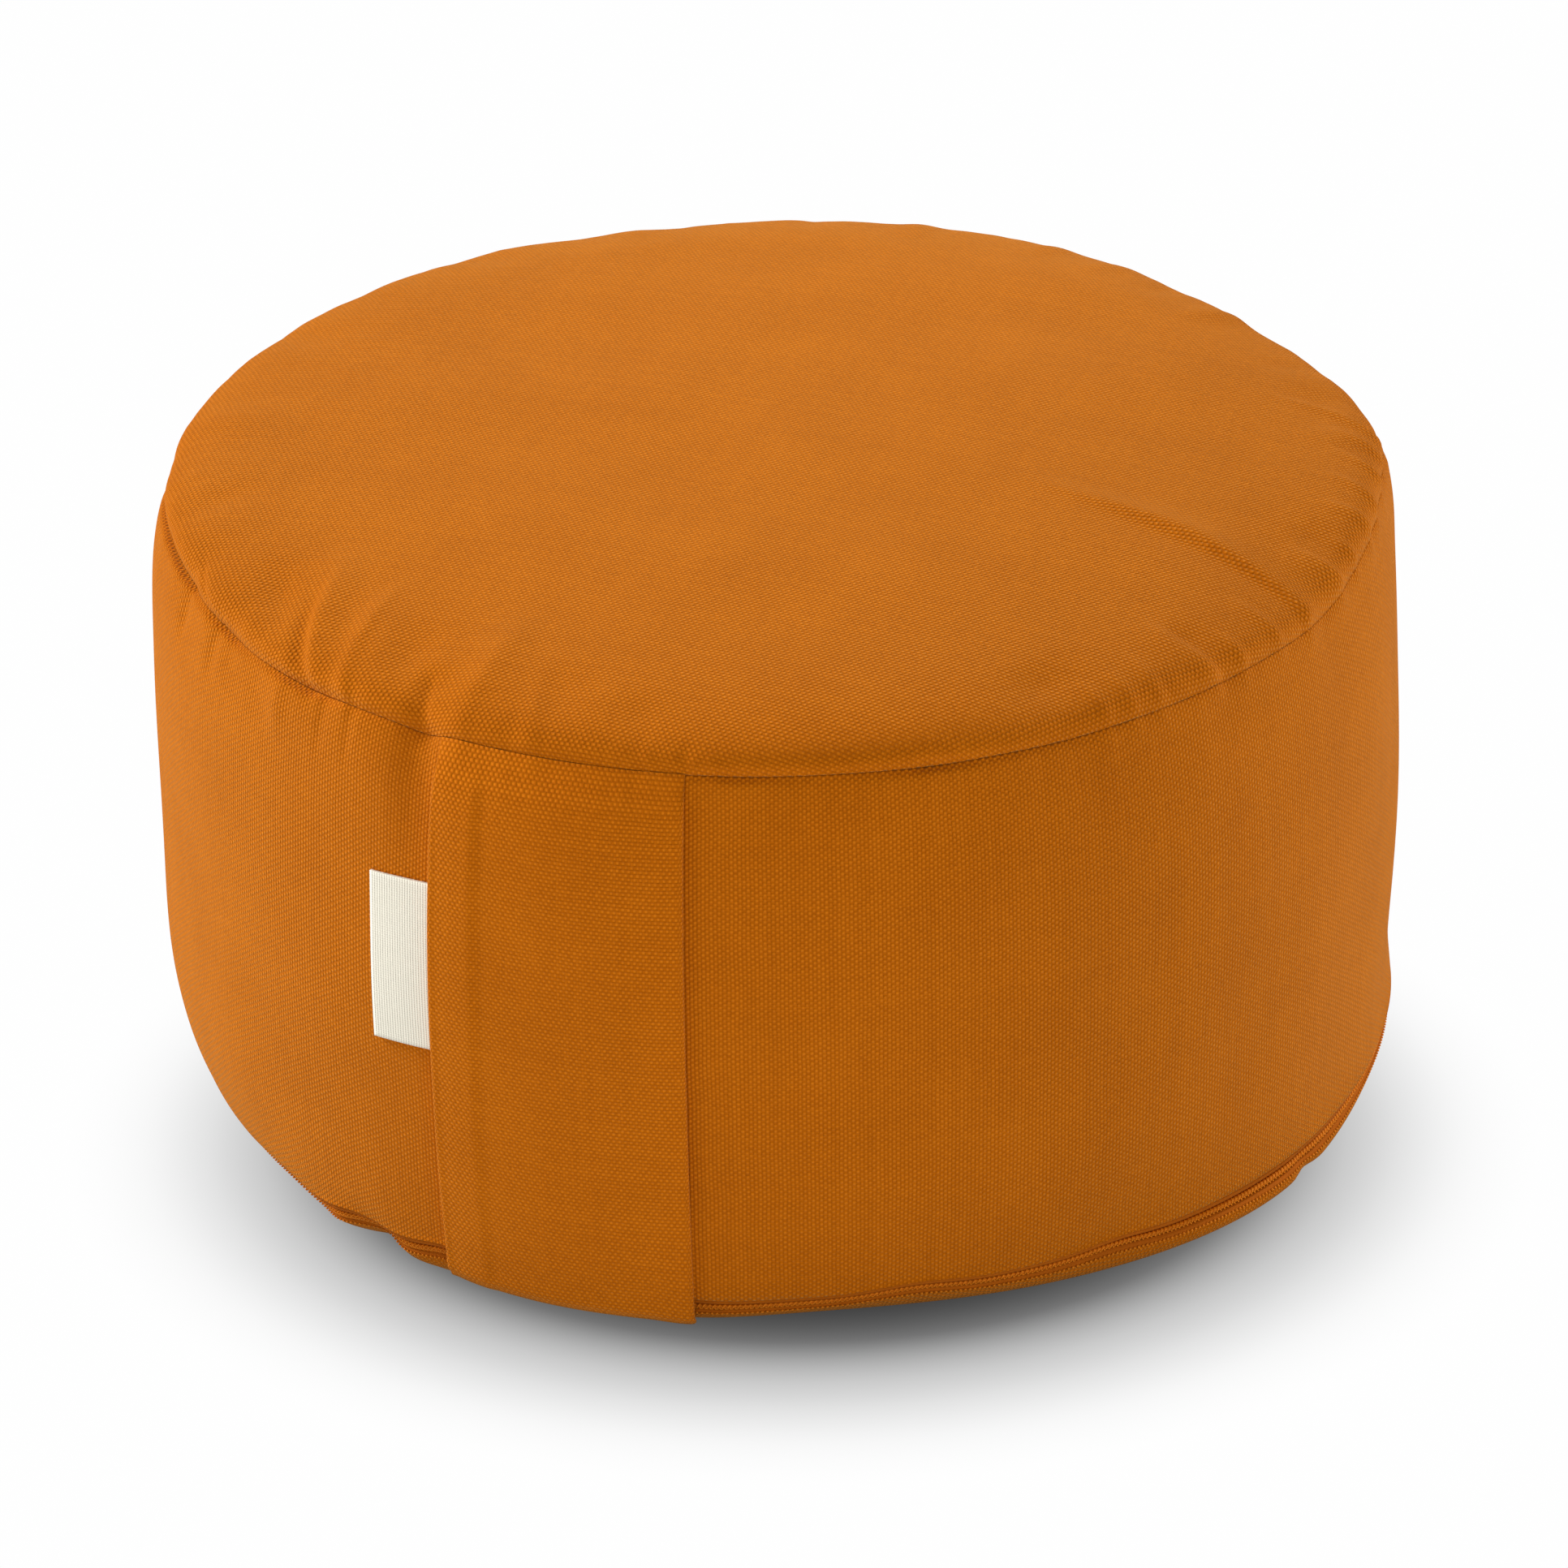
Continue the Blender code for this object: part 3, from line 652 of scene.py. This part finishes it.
def makeSideWall(sizes):
    inset = even["cloth"] + even["gap"] + sizes["clear"]
    rings = []
    for share, columns in sizes["crownRings"]:
        radius = even["seamRadius"] * share
        rings.append((columns, radius, crownHeight(radius) - inset * (1 + share), 0.0, None))
    rings.append((sizes["fineColumns"], even["seamRadius"] - inset, seamHeight - sizes["rimDrop"], 0.0, 1))
    for height, way in wallLine(sizes):
        columns = sizes["fineColumns"] if way < sizes["fineDepth"] - 1e-6 else sizes["columns"]
        rings.append((columns, wallRadius(height), height, way, 1))
    foot, edge, columns = even["wallFoot"], sizes["lipEdge"], sizes["columns"]
    way = rings[-1][3]
    for turn in map(math.radians, sizes["lipTurns"]):
        radius, height = footRadius - edge * (1 - math.cos(turn)), foot - edge * math.sin(turn)
        rings.append((columns, radius, height, way + edge * turn, None))
    way += edge * math.pi / 2
    # up behind the zip, and down inside the bottom panel
    heights = (foot - edge - even["gap"], even["rollRadius"], even["rollRadius"] / 2)
    inside = [(recessRadius - lean, height) for lean, height in zip(sizes["recessLean"], heights)]
    inside.append((even["floorRadius"] - even["gap"], inset + sizes["clear"]))
    for radius, height in inside:
        way += sizes["recessStep"]
        rings.append((columns, radius, height, way, None))
    for share, columns in sizes["floorRings"]:
        rings.append((columns, even["floorRadius"] * share, inset, 0.0, None))
    stripLength = sizes["yarnsRound"] * canvas["proudSpacing"]
    return turnedPiece("sideWall", rings, wallLook,
                       lambda turn, along: np.stack([turn / 360 * stripLength, -along], -1))


wall = makeSideWall(sideWall)
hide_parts("cushion_body")
print("side wall made:", len(wall.data.polygons), "faces")

# the top panel

topPanel = {
    "slot": "panel_canvas",
    "zones": [  # up to this far out, so many columns
        (0.012, 60), (0.030, 120), (0.062, 240), (0.128, 480), (1.0, 960)],
    "step": 0.0015,
    "rimStep": 0.00085,
    "rimZone": 0.040,
    "underside": [  # share of the way out, columns
        (0.99, 960), (0.965, 960), (0.93, 960), (0.88, 480), (0.8, 480), (0.65, 240), (0.5, 240),
        (0.35, 120), (0.15, 60), (0.0, 1)],
}


def crownLine(inset, shares, samples=6000):
    # points at shares of the way from the middle to the seam, this far inside the crown:
    # radius, height and way from the middle of each, and the whole way
    radii = even["seamRadius"] * (1 - (1 - np.linspace(0, 1, samples)) ** 3)
    heights = crownHeight(radii)
    lengths = lengthsAlong(radii, heights)

    def pointsAt(ways):
        return np.array([np.interp(ways, lengths, line) for line in (radii, heights)])

    ways = lengths[-1] * np.asarray(shares)
    radius, height = pointsAt(ways)
    step = 1e-5
    run, fall = pointsAt(ways + step) - pointsAt(ways - step)
    size = np.hypot(run, fall)
    return radius + inset * fall / size, height - inset * run / size, ways, lengths[-1]


def makeTopPanel(sizes):
    total = crownLine(0.0, [1.0])[3]
    ways = [0.0]
    while ways[-1] < total - seamWays[-1]:
        ways.append(ways[-1] + (sizes["step"] if total - ways[-1] > sizes["rimZone"] else sizes["rimStep"]))
    ways += [total - way for way in seamWays[:-1]]
    shares = np.array(sorted(set(w for w in ways if w <= total))) / total
    rings = []
    for r, z, w in zip(*crownLine(0.0, shares)[:3]):
        columns = 1 if w == 0 else next(n for far, n in sizes["zones"] if w < far)
        rings.append((columns, r, z, total - w, 0))
    shares, counts = zip(*sizes["underside"])
    for r, z, w, columns in zip(*crownLine(even["cloth"], shares)[:3], counts):
        rings.append((columns, r if columns > 1 else 0.0, z, total - w, 0))
    piece = turnedPiece("topPanel", rings, topLook,
                        lambda turn, along: flatPolar(turn, total - along))
    return piece, total


top, topReach = makeTopPanel(topPanel)
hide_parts("top_panel")
print("top panel made:", len(top.data.polygons), "faces, cut", round(2 * topReach, 4), "m across")

# the bottom panel

bottomPanel = {
    "slot": "panel_canvas",
    "floorRings": [(0, 1), (0.3, 60), (0.6, 120), (0.85, 240)],  # share of the way out, columns
    "rollSteps": 10,
    "edgeSteps": 4,
    "columns": 480,
}


def makeBottomPanel(sizes):
    roll, floor, thick, columns = even["rollRadius"], even["floorRadius"], even["cloth"], sizes["columns"]
    turns = [math.radians(90 * step / sizes["rollSteps"]) for step in range(sizes["rollSteps"] + 1)]

    def layer(height, radius):
        flat = [(n, floor * share, height, floor * share, None) for share, n in sizes["floorRings"]]
        return flat + [(columns, floor + radius * math.sin(turn), roll - radius * math.cos(turn),
                        floor + roll * turn, None) for turn in turns]

    rings = layer(thick, roll - thick)
    for step in range(1, sizes["edgeSteps"]):
        turn = math.radians(180 * step / sizes["edgeSteps"])
        out = floor + roll - thick / 2 - thick / 2 * math.cos(turn)
        way = floor + roll * math.pi / 2 + thick * step / sizes["edgeSteps"]
        rings.append((columns, out, roll + thick / 2 * math.sin(turn), way, None))
    rings += layer(0.0, roll)[::-1]
    return turnedPiece("bottomPanel", rings, topLook, flatPolar)


bottom = makeBottomPanel(bottomPanel)
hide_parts("bottom_panel")
print("bottom panel made")

# the carry band

carryBand = {
    "slot": "band_canvas",
    "edges": [  # height, azimuth of the left and of the right edge
        (0.0048, -11.2, 11.6), (0.050, -11.5, 11.4), (0.100, -11.4, 11.3), (0.148, -11.4, 11.3),
        (0.157, -11.6, 11.3)],
    "foot": 0.0050,
    "cornerDrop": 0.0012,  # its right corner hangs lower
    "cornerWidth": 0.012,
    "cornerStart": 0.8,  # share of the way down
    "thickness": 0.0021,
    "thinAtSeam": 0.0002,  # pressed flat where the seam takes it
    "clearAtSeam": 0.0001,
    "thickens": 0.011,  # over this far down
    "slack": 0.0013,
    "slackens": 0.018,
    "tuck": 0.0014,
    "tuckHeight": 0.0080,
    "hem": 0.0115,  # the left edge is folded in this far
    "hemFall": 0.0036,
    "hemRise": 0.0009,
    "hemThins": 0.6,  # by this share on the way down
    "edgeLine": 0.0010,  # and its edge is raised
    "edgeRise": 0.0003,
    "flatEdge": 0.003,  # taken up by the fold at each edge
    "across": 110,
    "rows": 150,
    "edgeSteps": 6,
}


def onWall(azimuth, height, above):
    # points that lie a given way above the settled wall
    way = np.maximum(seamHeight - height, 0)
    relief = seamRelief(azimuth, wallRadius(height), height, way, 1)
    return settled(azimuth, wallRadius(np.maximum(height, even["wallFoot"])) + above, height, relief)


def makeCarryBand(sizes):
    top, foot, count = seamHeight + 2 * seamSlit, sizes["foot"], sizes["across"]
    edgeHeights, *edges = zip(*sizes["edges"])
    turns = np.linspace(0, np.pi, sizes["edgeSteps"] + 2)[1:-1]
    sections = []
    for height in np.linspace(top, foot, sizes["rows"]):
        down = (top - height) / (top - foot)
        grown = rampUp(top - height, 0, sizes["slackens"])
        thickened = rampUp(top - height, 0, sizes["thickens"])
        thick = sizes["thinAtSeam"] + (sizes["thickness"] - sizes["thinAtSeam"]) * thickened
        clear = sizes["clearAtSeam"] + (even["gap"] - sizes["clearAtSeam"]) * thickened
        scale = wallRadius(height) + thick
        left, right = (scale * math.radians(np.interp(height, edgeHeights, edge)) for edge in edges)
        outer = np.linspace(left + thick / 2, right - thick / 2, count)
        fromLeft = outer - left
        share = (2 * outer - left - right) / (right - left)
        bow = sizes["slack"] * grown * np.sqrt(np.maximum(1 - share ** 2, 0))
        hem = sizes["hemRise"] * (1 - rampUp(fromLeft, sizes["hem"], sizes["hem"] + sizes["hemFall"]))
        hem *= 1 - sizes["hemThins"] * down
        hem += sizes["edgeRise"] * bell(fromLeft - sizes["edgeLine"], sizes["edgeLine"])
        tuck = sizes["tuck"] * (1 - rampUp(height, foot, sizes["tuckHeight"]))
        face = thick + bow + hem * grown
        rounding = thick / 2 * np.sin(turns)
        place = np.concatenate([outer, outer[-1] + rounding, outer[::-1], outer[0] - rounding])
        lift = np.concatenate([face, face[-1] / 2 * (1 + np.cos(turns)),
                               bow[::-1], face[0] / 2 * (1 - np.cos(turns))])
        drop = sizes["cornerDrop"] * rampUp(place, right - sizes["cornerWidth"], right)
        drop = drop * rampUp(down, sizes["cornerStart"], 1)
        sections.append(onWall(np.degrees(place / scale), height - drop, clear - tuck + lift))
    fold, steps = sizes["flatEdge"], len(turns)
    flat = np.concatenate([outer, np.linspace(right, right + fold, steps), 2 * right - left + outer,
                           np.linspace(left - fold, left, steps)])
    return sleevePiece("carryBand", sections, bandLook, flat, (top - foot) / sizes["rows"])


band = makeCarryBand(carryBand)
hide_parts("carry_band")
print("carry band made")

# the label

labelPatch = {
    "slot": "label_weave",
    "shown": 0.0177,
    "tucked": 0.0030,
    "bandEdge": -0.0340,  # it shows up to here, round the wall from the front
    "height": 0.0465,
    "top": 0.1192,
    "drop": 0.0020,
    "thickness": 0.0007,
    "across": 24,
    "rows": 50,
    "rib": 0.00078,
    "pick": 0.00065,
    "pickRise": 0.2,
    "wander": 0.00005,
    "wanderSize": 0.01,
    # painted shade: the label is darker in the grooves between its ribs
    "shadedTones": [(0.50, 0.47, 0.37, 1), (0.89, 0.84, 0.70, 1)],
    "toneStops": (0.0, 0.6),
    "bump": 0.5,
    "relief": 0.00015,
    "finish": {"Roughness": 0.8, "Sheen Weight": 0.2},
}


def ribbedLook(sizes):
    look, tree, shader = newLook("labelWeave", sizes["finish"])
    across, along = clothPlace(tree, sizes["wander"], sizes["wanderSize"])
    rib = calc("ABSOLUTE", calc("SINE", calc("MULTIPLY", across, math.pi / sizes["rib"])))
    pick = calc("SINE", calc("MULTIPLY", along, 2 * math.pi / sizes["pick"]))
    height = calc("MULTIPLY_ADD", pick, sizes["pickRise"], rib)
    # painted shade: the colour darkens down into the grooves between the ribs
    feed(shader.inputs["Base Color"], rampOf(height, sizes["shadedTones"], sizes["toneStops"]))
    feed(shader.inputs["Normal"], bumpOf(height, sizes["bump"], sizes["relief"]))
    return look


def makeLabel(sizes, look):
    width = sizes["shown"] + sizes["tucked"]
    freeEdge = sizes["bandEdge"] - sizes["shown"]
    outer = np.linspace(0, width, sizes["across"])
    place = np.concatenate([outer, outer[::-1]])
    lift = np.repeat([sizes["thickness"], 0.0], sizes["across"])
    sections = []
    for down in np.linspace(0, 1, sizes["rows"]):
        height = sizes["top"] - down * sizes["height"] - (1 - place / width) * sizes["drop"]
        azimuth = np.degrees((freeEdge + place) / wallRadius(height))
        sections.append(onWall(azimuth, height, even["gap"] + lift))
    flat = np.concatenate([outer, outer[::-1] + width])
    return sleevePiece("label", sections, look, flat, sizes["height"] / sizes["rows"])


label = makeLabel(labelPatch, ribbedLook(labelPatch))
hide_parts("woven_label")
print("label made")

# the zip

zipper = {
    "tapeSlot": "zip_tape",
    "coilSlot": "zip_coil",
    "tapeColour": (0.40, 0.095, 0.002),
    "coilColour": (0.64, 0.185, 0.006),
    "tapeFinish": {"Roughness": 0.85, "Specular IOR Level": 0.1},
    "coilFinish": {"Roughness": 0.55, "Specular IOR Level": 0.1},
    "grainScale": 900.0,
    "grainShades": (0.8, 1.2),
    "endTurn": 4.0,  # each end stops this far from the middle of the band
    "pitch": 0.00127,
    "coil": 0.00092,  # radius of the closed coil
    "coilLine": 0.0022,  # its middle, beyond the wall of the recess
    "coilHeight": 0.0081,
    "yarn": 0.00032,  # radius of one turn of it
    "core": 0.00056,  # the cord that the turns wind round
    "sides": 6,
    "coreSides": 10,
    "tapeSteps": 480,
    "tapeFlat": (1.0, 0.012),
    "tapeSection": [  # out from the recess and up: it stands behind the coil, then hangs over the
        # bottom panel's edge
        (0.0003, 0.0107), (0.0038, 0.0110), (0.0036, 0.0099), (0.0014, 0.0093), (0.0010, 0.0074),
        (0.0021, 0.0072), (0.0027, 0.0065), (0.0027, 0.0058), (0.0023, 0.0058), (0.0022, 0.0064),
        (0.0016, 0.0069), (0.0003, 0.0070)],
    "toothSteps": 4,
    "toothTurn": 100,  # how far a turn reaches round the coil
    "toothStart": -8,
    "slant": 0.62,  # of the pitch, which makes the herringbone
    "stitchHeight": 0.0060,
    "stitchOut": 0.0029,  # beyond the wall of the recess
    "stitchSize": (0.00042, 0.00036, 0.00040),  # half sizes along, out and up
}


def nylonLook(name, colour, finish, sizes):
    look, tree, shader = newLook(name, finish)
    grain = noiseAt(addNode(tree, "TexCoord")["Object"], sizes["grainScale"])
    colours = [(*[part * shade for part in colour], 1) for shade in sizes["grainShades"]]
    feed(shader.inputs["Base Color"], rampOf(grain, colours, (0.0, 1.0)))
    return look


def turnAt(sizes, share):
    # azimuth at a share of the way from one end of the zip to the other
    return sizes["endTurn"] + (360 - 2 * sizes["endTurn"]) * share


def loopsAlong(sizes, line):
    return int(math.radians(360 - 2 * sizes["endTurn"]) * line / sizes["pitch"])


def makeZipTape(sizes, look):
    out, heights = np.array(sizes["tapeSection"]).T
    length, width = sizes["tapeFlat"]
    sections = [settled(turnAt(sizes, share), recessRadius + out, heights)
                for share in np.linspace(0, 1, sizes["tapeSteps"])]
    flat = np.linspace(0, width, len(out))
    return sleevePiece("zipTape", sections, look, flat, length / sizes["tapeSteps"])


def toothShape(sizes, side):
    # one turn of the coil: (along, angle round the coil, distance from its middle) for each point
    steps, ring, yarn = sizes["toothSteps"], sizes["sides"], sizes["yarn"]
    middle = sizes["coil"] - yarn
    points, faces = [], []
    for step in range(steps + 1):
        share = step / steps
        along = sizes["slant"] * sizes["pitch"] * share
        angle = side * math.radians(sizes["toothStart"] + sizes["toothTurn"] * share)
        for corner in range(ring):
            turn = 2 * math.pi * corner / ring
            points.append((along + yarn * math.cos(turn), angle, middle + yarn * math.sin(turn)))
    for step in range(steps):
        for corner in range(ring):
            a, b = step * ring + corner, step * ring + (corner + 1) % ring
            faces.append([a, b, b + ring, a + ring])
    faces += [list(range(ring))[::-1], list(range(steps * ring, (steps + 1) * ring))]
    return np.array(points), [face[::-side] for face in faces]


def makeZipCoil(sizes, look):
    middle, line = sizes["coilHeight"], recessRadius + sizes["coilLine"]
    allPoints, allFaces, start = [], [], 0
    for side, offset in ((1, 0.0), (-1, 0.5)):
        shape, faces = toothShape(sizes, side)
        along, angle, away = shape.T
        radius, height = line + away * np.cos(angle), middle + away * np.sin(angle)
        for index in range(loopsAlong(sizes, line)):
            azimuth = sizes["endTurn"] + np.degrees(((index + offset) * sizes["pitch"] + along) / line)
            allPoints.append(np.stack([azimuth, radius, height], -1))
            allFaces += [[start + k for k in face] for face in faces]
            start += len(shape)
    steps, ring, core = sizes["tapeSteps"], sizes["coreSides"], sizes["core"]
    corner = 2 * np.pi * np.arange(ring) / ring
    radius, height = line + core * np.cos(corner), middle + core * np.sin(corner)
    for share in np.linspace(0, 1, steps):
        allPoints.append(np.stack([np.full(ring, turnAt(sizes, share)), radius, height], -1))
    for step in range(steps - 1):
        for k in range(ring):
            a, b = start + step * ring + k, start + step * ring + (k + 1) % ring
            allFaces.append([a, a + ring, b + ring, b])
    last = start + (steps - 1) * ring
    allFaces += [list(range(start, start + ring)), list(range(last, last + ring))[::-1]]
    return addPiece("zipCoil", settled(*np.concatenate(allPoints).T), allFaces, look)


def makeZipStitches(sizes, look):
    # a row of small loops where the lower tape meets the bottom panel
    ball = bmesh.new()
    bmesh.ops.create_icosphere(ball, subdivisions=1, radius=1)
    along, out, up = (np.array([v.co for v in ball.verts]) * sizes["stitchSize"]).T
    unitFaces = [[v.index for v in face.verts] for face in ball.faces]
    ball.free()
    line = recessRadius + sizes["stitchOut"]
    points, faces = [], []
    for index in range(loopsAlong(sizes, line)):
        azimuth = sizes["endTurn"] + np.degrees((index * sizes["pitch"] + along) / line)
        points.append(np.stack([azimuth, line + out, sizes["stitchHeight"] + up], -1))
        faces += [[index * len(along) + k for k in face] for face in unitFaces]
    return addPiece("zipStitches", settled(*np.concatenate(points).T), faces, look)


tape = makeZipTape(zipper, nylonLook("zipTape", zipper["tapeColour"], zipper["tapeFinish"], zipper))
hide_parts("zip_tape")
coilLook = nylonLook("zipNylon", zipper["coilColour"], zipper["coilFinish"], zipper)
coil = makeZipCoil(zipper, coilLook)
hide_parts("zip_coil")
stitches = makeZipStitches(zipper, coilLook)
print("zip made:", len(coil.data.polygons), "faces")

# floor, light and camera

studio = {
    "floorHalf": 6.0,
    "floorDrop": 0.0002,
    "world": 0.04,
    "lights": [  # name, azimuth, elevation, distance, size, power
        ("leftRim", -88, 33, 1.6, 0.7, 29.5),
        ("rightRim", 139, 36, 1.6, 0.6, 17.5),
        ("leftFill", -44, 18, 1.8, 1.2, 5.5),
        ("rightFill", 72, 18, 1.8, 1.2, 9.5),
        ("front", 19, 24, 1.8, 1.2, 6),
    ],
    "aim": (0.0, 0.0, 0.08),
}
# the floor is a glowing table, darkened by one soft shadow that falls towards the camera
shadow = {
    "towards": 19.2,
    "shift": 0.068,
    "aside": 0.006,
    "widen": 1.23,
    "levels": [  # distance, how bright the table is there
        (0.0854, 0.038), (0.0996, 0.143), (0.1086, 0.43), (0.117, 0.59), (0.128, 0.76), (0.142, 0.96),
        (0.1586, 1.0)],
}
camera = {
    "azimuth": 19.2,
    "elevation": 29.2,
    "distance": 1.482,
    "aimHeight": 0.080,
    "lens": 126.5,
    "sensor": 36,
    "roll": -0.7,
    "asideOfCentre": 0.00196,  # the cushion stands a little left of and above the picture's middle
    "belowCentre": 0.0133,
}


def awayFrom(azimuth, elevation, distance):
    turn, rise = math.radians(azimuth), math.radians(elevation)
    out = math.cos(rise)
    return distance * Vector((math.sin(turn) * out, -math.cos(turn) * out, math.sin(rise)))


def floorLookOf(sizes):
    look, tree, shader = newLook("glowingFloor", {})
    tree.nodes.remove(shader)
    place = addNode(tree, "VectorRotate", addNode(tree, "TexCoord")["Object"], rotation_type="Z_AXIS",
                    Angle=-math.radians(sizes["towards"]))
    across, along = addNode(tree, "SeparateXYZ", place[0])[:2]
    across = calc("DIVIDE", calc("SUBTRACT", across, sizes["aside"]), sizes["widen"])
    along = calc("ADD", along, sizes["shift"])
    away = calc("SQRT", calc("MULTIPLY_ADD", across, across, calc("MULTIPLY", along, along)))
    distances, levels = zip(*sizes["levels"])
    colours = [(level, level, level, 1) for level in levels]
    stops = [distance / distances[-1] for distance in distances]
    brightness = rampOf(calc("DIVIDE", away, distances[-1]), colours, stops, "B_SPLINE")
    glow = addNode(tree, "Emission", brightness)[0]
    feed(tree.nodes["Material Output"].inputs["Surface"], glow)
    return look


def makeStudio(sizes):
    half, drop = sizes["floorHalf"], sizes["floorDrop"]
    mesh = bpy.data.meshes.new("floor")
    corners = [(x * half, y * half, -drop) for x, y in ((-1, -1), (1, -1), (1, 1), (-1, 1))]
    mesh.from_pydata(corners, [], [(0, 1, 2, 3)])
    mesh.materials.append(floorLookOf(shadow))
    addObject("floor", mesh)
    world = bpy.data.worlds.new("studio")
    world.use_nodes = True
    background = world.node_tree.nodes["Background"]
    background.inputs["Color"].default_value = (1, 1, 1, 1)
    background.inputs["Strength"].default_value = sizes["world"]
    bpy.context.scene.world = world
    aim = Vector(sizes["aim"])
    for name, azimuth, elevation, distance, size, power in sizes["lights"]:
        lamp = bpy.data.lights.new(name, "AREA")
        lamp.shape = "DISK"
        lamp.size = size
        lamp.energy = power
        holder = addObject(name, lamp)
        holder.location = aim + awayFrom(azimuth, elevation, distance)
        holder.rotation_euler = (aim - holder.location).to_track_quat("-Z", "Y").to_euler()


def makeCamera(sizes):
    lens = bpy.data.cameras.new("camera")
    lens.lens = sizes["lens"]
    lens.sensor_width = sizes["sensor"]
    eye = addObject("camera", lens)
    away = awayFrom(sizes["azimuth"], sizes["elevation"], sizes["distance"])
    eye.location = Vector((0, 0, sizes["aimHeight"])) + away
    straight = (-away).to_track_quat("-Z", "Y")
    side, up = straight @ Vector((1, 0, 0)), straight @ Vector((0, 1, 0))
    target = -away + side * sizes["asideOfCentre"] - up * sizes["belowCentre"]
    roll = Matrix.Rotation(math.radians(sizes["roll"]), 3, "Z").to_quaternion()
    eye.rotation_euler = (target.to_track_quat("-Z", "Y") @ roll).to_euler()
    bpy.context.scene.camera = eye


makeStudio(studio)
makeCamera(camera)
bpy.context.scene.view_settings.view_transform = "Standard"
print("studio ready")
